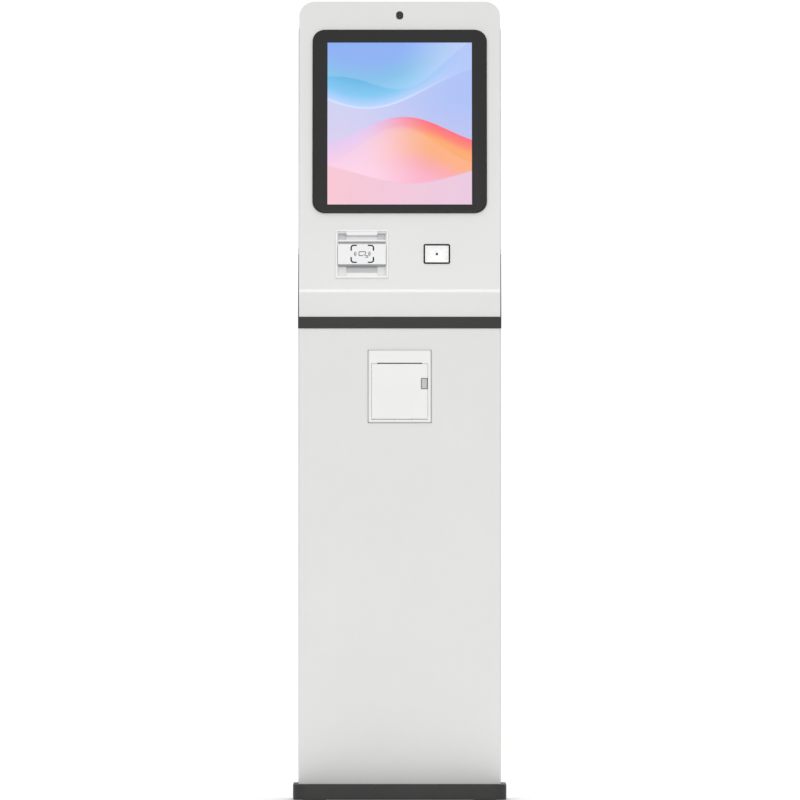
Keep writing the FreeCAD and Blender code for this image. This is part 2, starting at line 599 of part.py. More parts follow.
def make_display():
    bezel = body("display_bezel")
    add(bezel, "XY", [rounded("-bezel_half", "bezel_half", "bezel_low", "bezel_high",
                              "bezel_corner")], "0", "bezel_proud")
    border = "glass_border"
    cut(bezel, "XY", [aperture(f"screen_half + {border} + fit", f"screen_low - {border} - fit",
                               f"screen_high + {border} + fit")],
        "0", "bezel_proud - bezel_lip")
    cut(bezel, "XY", [aperture("screen_half", "screen_low", "screen_high")],
        "bezel_proud - bezel_lip", "bezel_proud")
    screen = value("screen_half")
    low, high = value("screen_low"), value("screen_high")
    dress(bezel, "Fillet", "bezel_edge", lambda e: level(value("bezel_proud"))(e)
          and (abs(e.CenterOfMass.x) > screen + 1 or not low - 1 < e.CenterOfMass.y < high + 1))
    place(bezel, "face")

    back = "bezel_proud - bezel_lip - glass"
    solid("touch_glass", "XY", [aperture(f"screen_half + {border}", f"screen_low - {border}",
                                         f"screen_high + {border}")],
          back, "bezel_proud - bezel_lip", "face")
    solid("display_panel", "XY", [aperture(f"screen_half + {border}", f"screen_low - {border}",
                                           f"screen_high + {border}")],
          f"{back} - panel_sheet", back, "face")
    chassis = solid("display_chassis", "XY", [aperture("chassis_half", "chassis_low",
                                                       "chassis_high")],
                    "-fit - chassis_deep", "-fit")
    rear = value("-fit - chassis_deep")
    dress(chassis, "Chamfer", "4", level(rear))
    place(chassis, "face")

    brackets = body("display_brackets")
    for side in (1, -1):
        x_in = f"{side} * (chassis_half + 2 * fit)"
        x_out = f"{side} * (chassis_half + bracket_wide)"
        tab = f"{side} * (chassis_half - bracket_wide)"
        spread = (x_in, x_out) if side > 0 else (x_out, x_in)
        over = (tab, x_out) if side > 0 else (x_out, tab)
        add(brackets, "XY", [box(*spread, "chassis_low + 30", "chassis_high - 30")],
            "-head_wall - chassis_deep", "-head_wall")
        add(brackets, "XY", [box(*over, "chassis_low + 30", "chassis_high - 30")],
            "-head_wall - chassis_deep - 2", "-head_wall - chassis_deep")
    place(brackets, "face")

    board = body("display_board")
    behind = "-(head_wall + chassis_deep + 2)"
    add(board, "XY", [box("-70", "70", "screen_low + 90", "screen_low + 190")],
        f"{behind} - 4 - board_sheet", f"{behind} - 4")
    for x, y, wide, tall, thick in ((-45, 120, 30, 30, 6), (10, 110, 40, 12, 9),
                                    (20, 160, 22, 22, 4), (-50, 168, 36, 10, 8)):
        add(board, "XY", [box(x, x + wide, f"screen_low + {y}", f"screen_low + {y + tall}")],
            f"{behind} - 4 - board_sheet - {thick}", f"{behind} - 4 - board_sheet")
    posts = [disc(x, f"screen_low + {y}", "3") for x in (-64, 64) for y in (96, 184)]
    add(board, "XY", posts, f"{behind} - 4", "-head_wall - chassis_deep + fit")
    place(board, "face")


def make_camera():
    window = rounded("-camera_half", "camera_half", "camera_v - camera_long",
                     "camera_v + camera_long", "camera_half - 0.05")
    solid("camera_window", "XY", [window], "-head_wall", "camera_proud", "face")
    module = body("camera_module")
    add(module, "XY", [box("-14", "14", "camera_v - 11", "camera_v + 11")], "-14", "-12")
    add(module, "XY", [box("-5", "5", "camera_v - 5", "camera_v + 5")], "-12", "-8")
    add(module, "XY", [disc("0", "camera_v", "4")], "-8", "-head_wall - fit")
    place(module, "face")


# ---------------------------------------------------------------- card reader and scanner

def around(u, v, half_u, half_v):
    return box(f"{u} - ({half_u})", f"{u} + ({half_u})", f"{v} - ({half_v})", f"{v} + ({half_v})")


def make_reader():
    housing = body("reader_housing")
    add(housing, "XY", [rounded("reader_u - reader_half", "reader_u + reader_half",
                                "reader_v - reader_half", "reader_v + reader_half", "3")],
        "0", "reader_rim")
    body_half = "reader_half - reader_flange - fit"
    add(housing, "XY", [around("reader_u", "reader_v", body_half, body_half)],
        "-reader_deep", "0")
    dress(housing, "Fillet", "1.2", level(value("reader_rim")))
    well = "reader_half - reader_wall"
    cut(housing, "XY", [around("reader_u", "reader_v", well, well)], "0", "reader_rim")
    well = "reader_half - well_inset"
    cut(housing, "XY", [around("reader_u", "reader_v", well, well)], "-reader_floor", "0")
    channel = ("reader_u - reader_channel", "reader_u + reader_channel")
    top, bottom = f"reader_v + ({well})", f"reader_v - ({well})"
    pockets = [box(*channel, f"{bottom} + reader_ledge", "pad_low + 2"),
               box(f"reader_u - ({well})", channel[0], "ridge_high", top),
               box(channel[1], f"reader_u + ({well})", "ridge_high", top)]
    cut(housing, "XY", pockets, "-reader_floor - channel_deep", "-reader_floor")
    ledges = [box(*channel, f"{top} - reader_ledge", top),
              box(*channel, bottom, f"{bottom} + reader_ledge")]
    add(housing, "XY", ledges, "-reader_floor", "0")
    overlap = "(well_inset - reader_wall)"
    add(housing, "XY", [box(*channel, f"{top} - reader_ledge", f"{top} + {overlap}"),
                        box(*channel, f"{bottom} - {overlap}", f"{bottom} + reader_ledge")],
        "0", "ledge_top")
    add(housing, "XY", [box(f"reader_u - ({well})", f"reader_u + ({well})", "ridge_low",
                            "ridge_high")], "-reader_floor - channel_deep", "reader_rim - 1")
    place(housing, "face")

    pad = body("reader_pad")
    wide = "reader_half - reader_wall - 1.4"
    add(pad, "XY", [box(f"reader_u - ({wide})", f"reader_u + ({wide})", "pad_low", "pad_high")],
        "fit", "pad_proud")
    dress(pad, "Fillet", "0.8", level(value("pad_proud")))
    add(pad, "XY", [box(f"reader_u - ({well} - fit)", f"reader_u + ({well} - fit)", "pad_low",
                        "pad_high")], "-reader_floor", "fit")
    place(pad, "face")


def make_scanner():
    u, v = "scanner_u", "scanner_v"
    eye = "(scanner_v + scanner_deep * tan(tilt))"
    frame = body("scanner_frame")
    add(frame, "XY", [rounded(f"{u} - scanner_half_u", f"{u} + scanner_half_u",
                              f"{v} - scanner_half_v", f"{v} + scanner_half_v",
                              "scanner_corner")], "0", "scanner_proud")
    inner_u, inner_v = "scanner_half_u - scanner_border", "scanner_half_v - scanner_border"
    cut(frame, "XY", [around(u, v, inner_u, inner_v)], "0", "scanner_proud")
    place(frame, "face")

    hood = body("scanner_hood")
    add(hood, "XY", [around(u, v, f"{inner_u} + 1", f"{inner_v} + 1")], "-scanner_deep", "0")
    funnel = hood.newObject("PartDesign::SubtractiveLoft", "scanner_hood_funnel")
    mouth = sketch_on(hood, "XY", "0", [around(u, v, inner_u, inner_v)])
    throat = sketch_on(hood, "XY", "-scanner_deep", [around(u, eye, "scanner_eye",
                                                            "scanner_eye")])
    funnel.Profile = mouth
    funnel.Sections = [throat]
    doc.recompute()
    place(hood, "face")

    engine = body("scanner_engine")
    back = "-scanner_deep - 2"
    add(engine, "XY", [around(u, eye, "engine_half_u", "engine_half_v")],
        f"{back} - engine_deep", back)
    add(engine, "XY", [disc(u, eye, "scanner_eye - 0.1")], back, "1 - scanner_deep")
    add(engine, "XY", [around(u, f"{eye} - engine_half_v - 4", "engine_half_u - 3", "5")],
        f"{back} - engine_deep + 4", f"{back} - 2")
    place(engine, "face")


# ---------------------------------------------------------------- receipt printer

def make_printer_case():
    bezel = body("printer_bezel")
    front = "front_y - printer_proud"
    add(bezel, "XZ", [box("-printer_half", "printer_half", "printer_low", "printer_high")],
        front, "front_y")
    dress(bezel, "Fillet", "2.5", along("Y", lambda c: True))
    at_front = value(front)
    dress(bezel, "Chamfer", "2", lambda e: e.BoundBox.YLength < 1e-6
          and abs(e.CenterOfMass.y - at_front) < 1e-6)
    opening = ("-leaf_half - leaf_gap", "leaf_half + leaf_gap", "leaf_low - leaf_gap")
    cut(bezel, "XZ", [box(*opening, "leaf_high + leaf_gap")], front, "front_y")
    cut(bezel, "XZ", [box("-slot_half_wide", "slot_half_wide", "leaf_high", "leaf_high + slot_gap")],
        front, "front_y")
    cut(bezel, "YZ", [disc("leaf_pin_y", "leaf_pin_z", "leaf_pin_radius")],
        "-leaf_half - 3", "leaf_half + 3")

    case = body("printer_case")
    case_front = "leaf_front + leaf_thick + fit"
    add(case, "XY", [box("-case_half", "case_half", case_front, "case_back")],
        "case_low", "case_high")
    cut(case, "XY", [box("case_wall - case_half", "case_half - case_wall", case_front,
                         "case_back - case_wall")], "case_low + case_wall",
        "case_high - case_wall")
    shaft = ("platen_y + gear_module * (platen_teeth + pinion_teeth) / 2", "platen_z")
    cut(case, "YZ", [disc(*shaft, "shaft_radius + 0.5")], "-case_half", "case_wall - case_half")

    head = body("thermal_head")
    add(head, "YZ", [box("platen_y + platen_radius + fit", "platen_y + platen_radius + 6",
                         "platen_z - 8", "platen_z + 10")], "-platen_half", "platen_half")
    add(head, "YZ", [box("platen_y + platen_radius + 6", "case_back - case_wall",
                         "platen_z - 4", "platen_z + 2")], "-platen_half + 10",
        "platen_half - 10")
    edge = "leaf_high + slot_gap"
    bar = body("tear_bar")
    add(bar, "YZ", [polygon([("front_y", edge), ("front_y + 8", f"{edge} + 2.5"),
                             ("front_y + 8", f"{edge} + 4"), ("front_y", f"{edge} + 4")])],
        "-slot_half_wide", "slot_half_wide")

    motor = body("feed_motor")
    add(motor, "YZ", [disc(*shaft, "motor_radius")], "-case_half - motor_long - 2",
        "-case_half - 2")
    add(motor, "YZ", [box(f"{shaft[0]} - 16", f"{shaft[0]} + 16", "platen_z - 8",
                          "platen_z + 8")], "-case_half - 2", "-case_half")
    cut(motor, "YZ", [disc(*shaft, "shaft_bore")], "-case_half - motor_long - 2",
        "-case_half")

    solid("printer_hinge_pin", "YZ", [disc("leaf_pin_y", "leaf_pin_z", "leaf_pin_radius")],
          "-leaf_half - 3", "leaf_half + 3")


def make_printer_door():
    door = body("printer_door")
    inner = "leaf_front + leaf_thick"
    add(door, "YZ", [box("leaf_front", inner, "leaf_pin_z", "leaf_high")], "-leaf_half",
        "leaf_half")
    add(door, "YZ", [disc("leaf_pin_y", "leaf_pin_z", "leaf_thick / 2")], "-leaf_half",
        "leaf_half")
    cheek = polygon([(inner, "leaf_pin_z + 40"), ("platen_y + 8", "platen_z - 14"),
                     ("platen_y + 8", "platen_z + 5"), (inner, "platen_z + 8")])
    for low, high in (("cheek_in", "cheek_out"), ("-cheek_out", "-cheek_in")):
        add(door, "YZ", [cheek], low, high)
        cut(door, "YZ", [disc("platen_y", "platen_z", "shaft_radius")], low, high)
    cut(door, "YZ", [disc("leaf_pin_y", "leaf_pin_z", "leaf_pin_bore")], "-leaf_half",
        "leaf_half")
    cut(door, "XZ", [box("latch_in - fit", "leaf_half", "latch_low - fit", "latch_high + fit")],
        "leaf_front", "leaf_front + 5")
    stem = ("cheek_out + 0.8", "latch_out - 1.5", "latch_low + 4", "latch_high - 4")
    cut(door, "XZ", [box(f"{stem[0]} - fit", f"{stem[1]} + fit", f"{stem[2]} - fit",
                         f"{stem[3]} + fit")], "leaf_front + 5", inner)

    latch = body("printer_latch")
    add(latch, "XZ", [box("latch_in", "latch_out", "latch_low", "latch_high")],
        "leaf_front + 0.8", "leaf_front + 2.8")
    dress(latch, "Fillet", "0.6", along("Y", lambda c: True))
    add(latch, "XZ", [box(*stem)], "leaf_front + 2.8", "leaf_front + 9")

    solid("platen_roller", "YZ", [disc("platen_y", "platen_z", "platen_radius")],
          "-platen_half", "platen_half")
    cut(doc.getObject("platen_roller"), "YZ", [disc("platen_y", "platen_z", "shaft_radius")],
        "-platen_half", "platen_half")
    solid("platen_shaft", "YZ", [disc("platen_y", "platen_z", "shaft_radius - 0.05")],
          "-gear_out", "cheek_out + 1")


def gear(label, teeth, y, phase, bore, low, high):
    """A spur gear along X: its root disc, and one tooth repeated round it."""
    pitch = f"gear_module * {teeth} / 2"
    root, tip = f"({pitch} - 1.3 * gear_module)", f"({pitch} + 0.8 * gear_module)"
    piece = body(label)
    add(piece, "YZ", [disc("0", "0", root)], low, high)
    flank = [(f"{root} - gear_module / 2", 0.4), (root, 0.82), (pitch, 0.62), (tip, 0.28)]
    outline = [(radius, f"-{half} * gear_module") for radius, half in flank]
    outline += [(radius, f"{half} * gear_module") for radius, half in reversed(flank)]
    tooth = add(piece, "YZ", [polygon(outline)], low, high)
    repeat(piece, tooth, "PolarPattern", "X_Axis", "0", teeth)
    cut(piece, "YZ", [disc("0", "0", bore)], low, high)
    spin(piece, "0", y, "platen_z", (1, 0, 0), phase)
    return piece


def make_gears():
    centre = "platen_y + gear_module * (platen_teeth + pinion_teeth) / 2"
    half_step = 180 / SIZES["pinion_teeth"]
    gear("platen_gear", "platen_teeth", "platen_y", 0, "shaft_radius - 0.05", "-gear_out",
         "-gear_in")
    gear("motor_pinion", "pinion_teeth", centre, 180 + half_step, "shaft_radius - 0.5",
         "-gear_out", "-gear_in")
    add(doc.getObject("motor_pinion"), "YZ", [disc("0", "0", "shaft_radius")],
        "-case_half - motor_long + 4", "-gear_out")


def make_paper_roll():
    roll = solid("paper_roll", "YZ", [disc("roll_y", "roll_z", "roll_radius")], "-roll_half",
                 "roll_half")
    cut(roll, "YZ", [disc("roll_y", "roll_z", "roll_core")], "-roll_half", "roll_half")
    core = solid("paper_core", "YZ", [disc("roll_y", "roll_z", "roll_core")], "-roll_half",
                 "roll_half")
    cut(core, "YZ", [disc("roll_y", "roll_z", "roll_core - 2")], "-roll_half", "roll_half")


# ---------------------------------------------------------------- fan

def make_fan():
    back = "rear_y - steel"
    frame = body("fan_frame")
    add(frame, "XZ", [rounded("-fan_half", "fan_half", "fan_z - fan_half", "fan_z + fan_half",
                              "4")], f"{back} - fan_deep", back)
    cut(frame, "XZ", [disc("0", "fan_z", "fan_bore")], f"{back} - fan_deep", back)
    for spread in (("-fan_bore - 1", "fan_bore + 1", "fan_z - 2", "fan_z + 2"),
                   ("-2", "2", "fan_z - fan_bore - 1", "fan_z + fan_bore + 1")):
        add(frame, "XZ", [box(*spread)], f"{back} - 3", back)
    add(frame, "XZ", [disc("0", "fan_z", "fan_hub - 1")], f"{back} - 3", back)

    rotor = body("fan_rotor")
    add(rotor, "XY", [disc("0", "0", "fan_hub")], "0", "fan_deep - 5")
    blade = add(rotor, "YZ", [polygon([("-7", "3"), ("-5.5", "3"), ("7", "fan_deep - 8"),
                                       ("5.5", "fan_deep - 8")])], "fan_hub - 1", "fan_blade")
    repeat(rotor, blade, "PolarPattern", "Z_Axis", "0", "fan_blades")
    spin(rotor, "0", f"{back} - fan_deep + 1", "fan_z", (1, 0, 0), -90)

    guard = body("fan_guard")
    front = f"{back} - fan_deep"
    for radius in ("12", "20", "28", "36"):
        add(guard, "XZ", [disc("0", "fan_z", f"{radius} + guard_wire"),
                          disc("0", "fan_z", f"{radius} - guard_wire")],
            f"{front} - 2", front)
    for spread in (("-fan_half + 2", "fan_half - 2", "fan_z - guard_wire", "fan_z + guard_wire"),
                   ("-guard_wire", "guard_wire", "fan_z - fan_half + 2",
                    "fan_z + fan_half - 2")):
        add(guard, "XZ", [box(*spread)], f"{front} - 2", front)


# ---------------------------------------------------------------- equipment in the column

def make_equipment():
    top = "shelf_z + shelf_sheet"
    shelf = body("equipment_shelf")
    add(shelf, "XY", [box("-shelf_half", "shelf_half", "shelf_front", "shelf_back")],
        "shelf_z", top)
    add(shelf, "XZ", [box("-shelf_half", "shelf_half", "shelf_z - shelf_turn", "shelf_z")],
        "shelf_back - shelf_sheet", "shelf_back")
    add(shelf, "XZ", [box("-shelf_half", "shelf_half", "shelf_z - shelf_turn", "shelf_z")],
        "shelf_front", "shelf_front + shelf_sheet")
    for side in (1, -1):
        ends = sorted((f"{side} * shelf_half", f"{side} * (shelf_half - shelf_sheet)"), key=value)
        add(shelf, "XY", [box(*ends, "shelf_front", "shelf_back")], "shelf_z - shelf_turn",
            "shelf_z")

    computer = body("computer")
    add(computer, "XY", [box("computer_low_x", "computer_high_x", "unit_front", "unit_back")],
        top, f"{top} + computer_high - fin_high")
    fin = add(computer, "XY", [box("computer_low_x", "computer_low_x + fin_wide", "unit_front",
                                   "unit_back")],
              f"{top} + computer_high - fin_high", f"{top} + computer_high")
    repeat(computer, fin, "LinearPattern", "X_Axis",
           "computer_high_x - computer_low_x - fin_wide", "fin_count")

    supply = body("power_supply")
    add(supply, "XY", [box("supply_low_x", "supply_high_x", "unit_front", "unit_back")],
        top, f"{top} + supply_high")
    first = cut(supply, "XY", [box("supply_low_x + 12", "supply_high_x - 12",
                                   "unit_front + 20", "unit_front + 20 + vent_wide")],
                f"{top} + supply_high - vent_deep", f"{top} + supply_high")
    repeat(supply, first, "LinearPattern", "Y_Axis", "vent_spread", "vent_count")

    wall = "front_y + steel"
    rail = body("din_rail")
    rail_front = f"{wall} + rail_deep"
    for tall, low, high in (("rail_waist", wall, f"{rail_front} - rail_sheet"),
                            ("rail_tall", f"{rail_front} - rail_sheet", rail_front)):
        add(rail, "XZ", [box("-rail_half", "rail_half", f"rail_z - {tall} / 2",
                             f"rail_z + {tall} / 2")], low, high)
    breaker = body("circuit_breaker")
    steps = (("breaker_tall", rail_front, f"{wall} + breaker_shoulder"),
             ("breaker_nose", f"{wall} + breaker_shoulder", f"{wall} + breaker_deep"))
    for tall, low, high in steps:
        add(breaker, "XZ", [box("breaker_x", "breaker_x + breaker_wide", f"rail_z - {tall} / 2",
                                f"rail_z + {tall} / 2")], low, high)


def make_inlet():
    skin = "rear_y - steel"
    inlet = body("mains_inlet")
    add(inlet, "XZ", [around("inlet_x", "inlet_z", "inlet_half_x + inlet_flange",
                             "inlet_half_z + inlet_flange")], skin, f"{skin} + 2")
    add(inlet, "XZ", [around("inlet_x", "inlet_z", "inlet_half_x", "inlet_half_z")],
        f"{skin} - inlet_deep", skin)
    cut(inlet, "XZ", [around("socket_x", "inlet_z", "socket_half_x", "socket_half_z")],
        f"{skin} - socket_deep", f"{skin} + 2")
    cut(inlet, "XZ", [around("rocker_x", "inlet_z", "rocker_half + fit", "rocker_tall + 2")],
        f"{skin} - rocker_well", f"{skin} + 2")
    pins = [around(f"socket_x + {step} * pin_pitch", f"inlet_z + {rise}", "1", "2")
            for step, rise in ((-1, "-2"), (0, "2"), (1, "-2"))]
    add(inlet, "XZ", pins, f"{skin} - socket_deep", f"{skin} - 2")

    rocker = body("power_switch")
    add(rocker, "YZ", [polygon([("7.6", "rocker_tall"), ("5.4", "0"), ("7.6", "-rocker_tall"),
                                ("-2", "-rocker_tall + 3"), ("-2", "rocker_tall - 3")])],
        "-rocker_half", "rocker_half")
    spin(rocker, "rocker_x", "rocker_y", "inlet_z", (1, 0, 0), -7)


# ---------------------------------------------------------------- leads inside

def face_point(u, v, out):
    """A point of the face frame in the kiosk's own coordinates."""
    return (u, f"(front_y + ({v}) * sin(tilt) - ({out}) * cos(tilt))",
            f"(lip_top + ({v}) * cos(tilt) + ({out}) * sin(tilt))")


def lead(corners, radius):
    """A round lead along straight runs, each corner an arc tangent to the runs beside it."""
    points = [FreeCAD.Vector(*(value(c) for c in corner)) for corner in corners]
    thick = value(radius)
    start = points[0]
    edges = []
    for before, corner, after in zip(points, points[1:], points[2:]):
        back, ahead = before - corner, after - corner
        reach = 0.45 * min(back.Length, ahead.Length)
        back.normalize()
        ahead.normalize()
        half_turn = (math.pi - back.getAngle(ahead)) / 2
        bend_radius = reach / math.tan(half_turn)
        centre = corner + (back + ahead).normalize() * (bend_radius / math.cos(half_turn))
        crown = centre + (corner - centre).normalize() * bend_radius
        edges.append(Part.LineSegment(start, corner + back * reach).toShape())
        start = corner + ahead * reach
        edges.append(Part.Arc(corner + back * reach, crown, start).toShape())
    edges.append(Part.LineSegment(start, points[-1]).toShape())
    path = Part.Wire(edges)
    ring = Part.Wire(Part.makeCircle(thick, points[0], points[1] - points[0]))
    tube = path.makePipeShell([ring], True, False)
    if abs(tube.Volume / (math.pi * thick ** 2 * path.Length) - 1) > 0.01:
        raise ValueError("a lead's volume isn't its section times its length")
    return tube


def make_leads():
    """Mains from the inlet to the breaker and supply, 24 V to the computer, and the data cables."""
    mains = doc.addObject("Part::Feature", "mains_leads")
    supply_back = "unit_back"
    mains.Shape = Part.Compound([
        lead([("inlet_x", "rear_y - steel - inlet_deep", "inlet_z"),
              ("inlet_x", 70, "inlet_z"), (-70, 10, 60), (-30, -60, 72), (-27, -108, 98),
              (-27, -108, "rail_z - breaker_tall / 2")], "mains_radius"),
        lead([(-9, -108, "rail_z + breaker_tall / 2"), (-9, -108, 256), (-40, -44, 280),
              (-104, 56, 279), (-127, 92, 308), (-130, 84, 352), (-130, supply_back, 352)],
             "mains_radius"),
        lead([(-75, supply_back, 348), (-75, 82, 348), (-45, 86, 313), (110, 86, 311),
              (144, 84, 338), (144, "unit_back", 338)], "signal_radius"),
    ])

    signals = doc.addObject("Part::Feature", "signal_cables")
    port_z = 338
    engine_back = "-(scanner_deep + 2 + engine_deep)"
    eye = "(scanner_v + scanner_deep * tan(tilt))"
    board_back = "-(head_wall + chassis_deep + 2 + 4 + board_sheet + 9)"
    signals.Shape = Part.Compound([
        lead([(82, "unit_back", port_z), (82, 84, port_z), (112, 95, 400), (118, 94, 780),
              (106, 42, 890), (100, 30, 1010), (62, 72, 1110), face_point(30, 292, -80),
              face_point(30, 292, board_back)], "signal_radius"),
        lead([(104, "unit_back", port_z), (104, 84, port_z), (132, 95, 400), (138, 94, 770),
              (130, 50, 870), (120, 10, 935), (96, -6, 1002), (0, -20, 1012),
              face_point("reader_u", "reader_v", -75),
              face_point("reader_u", "reader_v", "-reader_deep")], "signal_radius"),
        lead([(20, "unit_back", port_z), (20, 86, port_z), (36, 97, 400), (40, 96, 640),
              (20, 40, 725), (0, -12, 770), (0, "case_back", 770)], "signal_radius"),
        lead([(4, "unit_back", port_z), (4, 86, port_z), (-14, 97, 400), (-20, 96, 640),
              (0, 60, 780), (40, 30, 860), (64, 20, 925), (68, 6, 968),
              face_point("scanner_u", eye, f"{engine_back} - 36"),
              face_point("scanner_u", eye, engine_back)], "signal_radius"),
    ])


# ---------------------------------------------------------------- checks and export

def sub_parts():
    return [piece for piece in doc.Objects
            if piece.TypeId in ("PartDesign::Body", "Part::Feature")]


def check_document():
    for item in doc.Objects:
        if "Invalid" in item.State or "Error" in item.State:
            raise ValueError(f"{item.Label} failed: {item.State}")
    for piece in sub_parts():
        if piece.Shape.isNull() or not piece.Shape.isValid() or not piece.Shape.Solids:
            raise ValueError(f"{piece.Label} has no valid solid")


make_plinth()
make_column()
make_neck()
make_rear_door()
make_head_shell()
make_display()
make_camera()
make_reader()
make_scanner()
make_printer_case()
make_printer_door()
make_gears()
make_paper_roll()
make_fan()
make_equipment()
make_inlet()
make_leads()
doc.recompute()
check_document()
os.makedirs("parts", exist_ok=True)
for piece in sub_parts():
    piece.Shape.exportStep(f"parts/{piece.Label}.step")
print(f"{len(sub_parts())} sub-parts written")
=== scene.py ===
import math
import random

import bmesh
import bpy
from mathutils import Matrix, Vector
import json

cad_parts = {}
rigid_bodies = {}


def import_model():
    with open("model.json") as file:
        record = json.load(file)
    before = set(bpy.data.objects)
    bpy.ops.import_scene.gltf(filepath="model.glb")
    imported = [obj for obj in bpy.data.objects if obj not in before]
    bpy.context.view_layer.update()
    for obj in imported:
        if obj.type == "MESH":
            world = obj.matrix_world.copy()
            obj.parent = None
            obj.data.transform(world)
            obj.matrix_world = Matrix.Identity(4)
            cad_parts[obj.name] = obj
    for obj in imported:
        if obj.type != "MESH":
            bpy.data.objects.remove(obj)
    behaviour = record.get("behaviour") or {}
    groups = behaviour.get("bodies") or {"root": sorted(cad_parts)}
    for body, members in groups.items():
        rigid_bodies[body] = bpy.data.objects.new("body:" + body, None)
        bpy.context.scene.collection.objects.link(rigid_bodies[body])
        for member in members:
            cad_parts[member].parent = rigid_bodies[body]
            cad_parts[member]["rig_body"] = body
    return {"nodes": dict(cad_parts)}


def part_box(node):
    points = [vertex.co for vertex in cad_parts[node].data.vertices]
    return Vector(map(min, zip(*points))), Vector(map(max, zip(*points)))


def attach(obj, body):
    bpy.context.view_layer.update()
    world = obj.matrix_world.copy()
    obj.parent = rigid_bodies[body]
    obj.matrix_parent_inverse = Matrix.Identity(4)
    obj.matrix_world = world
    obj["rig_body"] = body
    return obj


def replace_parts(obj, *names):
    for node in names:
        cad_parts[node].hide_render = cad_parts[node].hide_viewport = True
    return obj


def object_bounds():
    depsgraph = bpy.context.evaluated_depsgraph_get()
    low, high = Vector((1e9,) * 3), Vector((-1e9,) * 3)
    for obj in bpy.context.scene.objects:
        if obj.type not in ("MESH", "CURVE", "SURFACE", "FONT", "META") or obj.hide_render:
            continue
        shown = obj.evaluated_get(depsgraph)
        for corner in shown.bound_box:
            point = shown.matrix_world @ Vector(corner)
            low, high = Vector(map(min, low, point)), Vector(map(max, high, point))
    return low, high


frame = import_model()
cad_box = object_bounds()

# Looks of a self-service payment kiosk, built round its CAD frame. Metres, +X to the right of the
# customer, +Y towards the back of the kiosk, +Z up. Points on the tilted front of the head are given
# as (across, up, out) in the plane of that face.

nodes = frame["nodes"]
SLOT_OF = {name: node.data.materials[0].name for name, node in nodes.items()}
MM = 0.001
TILT = math.radians(25)
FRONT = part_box("column_shell")[0].y
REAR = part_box("rear_door")[1].y
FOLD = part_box("head_shell")[0].z + 49 * MM
KIOSK_HEIGHT = cad_box[1].z
ACROSS = Vector((1, 0, 0))
UP = Vector((0, math.sin(TILT), math.cos(TILT)))
OUT = Vector((0, -math.cos(TILT), math.sin(TILT)))
FACE_ORIGIN = Vector((0, FRONT, FOLD))
SCREEN_HALF = 135.65 * MM
SCREEN_LOW = 176.05 * MM
SCREEN_HIGH = 513.7 * MM


def on_face(across, up, out=0.0):
    return FACE_ORIGIN + across * ACROSS + up * UP + out * OUT


def face_box(node):
    """Lowest and highest (across, up, out) of a CAD node, measured along the tilted face."""
    places = [v.co - FACE_ORIGIN for v in nodes[node].data.vertices]
    spans = [[p.dot(axis) for p in places] for axis in (ACROSS, UP, OUT)]
    return [min(s) for s in spans], [max(s) for s in spans]


def middle(node):
    low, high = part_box(node)
    return (low + high) / 2


def linear(colour):
    """The linear colour of a hex code such as 5fb0e0."""
    parts = [int(colour[i:i + 2], 16) / 255 for i in (0, 2, 4)]
    return [p / 12.92 if p <= 0.04045 else ((p + 0.055) / 1.055) ** 2.4 for p in parts] + [1.0]


# ---------------------------------------------------------------- shader building blocks

class Field:
    """A value that varies over a surface: the output of a shader node, with arithmetic."""

    def __init__(self, socket):
        self.socket = socket
        self.tree = socket.id_data

    def feed(self, inlet):
        self.tree.links.new(self.socket, inlet)

    def math(self, operation, *others, clamp=False):
        node = self.tree.nodes.new("ShaderNodeMath")
        node.operation = operation
        node.use_clamp = clamp
        for inlet, value in zip(node.inputs, (self,) + others):
            if isinstance(value, Field):
                value.feed(inlet)
            else:
                inlet.default_value = value
        return Field(node.outputs[0])

    def __add__(self, other):
        return self.math("ADD", other)

    def __sub__(self, other):
        return self.math("SUBTRACT", other)

    def __mul__(self, other):
        return self.math("MULTIPLY", other)

    def inverse(self):
        return (self * -1.0) + 1.0

    def step(self, low, high):
        """0 below low, 1 above high and smooth between them."""
        node = self.tree.nodes.new("ShaderNodeMapRange")
        node.interpolation_type = "SMOOTHSTEP"
        self.feed(node.inputs["Value"])
        node.inputs["From Min"].default_value = low
        node.inputs["From Max"].default_value = high
        return Field(node.outputs[0])

    def ramp(self, *stops):
        """A colour from stops, each a position and a hex colour."""
        node = self.tree.nodes.new("ShaderNodeValToRGB")
        elements = node.color_ramp.elements
        while len(elements) < len(stops):
            elements.new(0.5)
        for element, (position, colour) in zip(elements, stops):
            element.position = position
            element.color = linear(colour)
        self.feed(node.inputs[0])
        return Field(node.outputs[0])

    def mix(self, first, second):
        """A blend from first to second by this value. Each is a Field or a hex colour."""
        node = self.tree.nodes.new("ShaderNodeMix")
        node.data_type = "RGBA"
        self.feed(node.inputs[0])
        for inlet, value in ((node.inputs[6], first), (node.inputs[7], second)):
            if isinstance(value, Field):
                value.feed(inlet)
            else:
                inlet.default_value = linear(value)
        return Field(node.outputs[2])


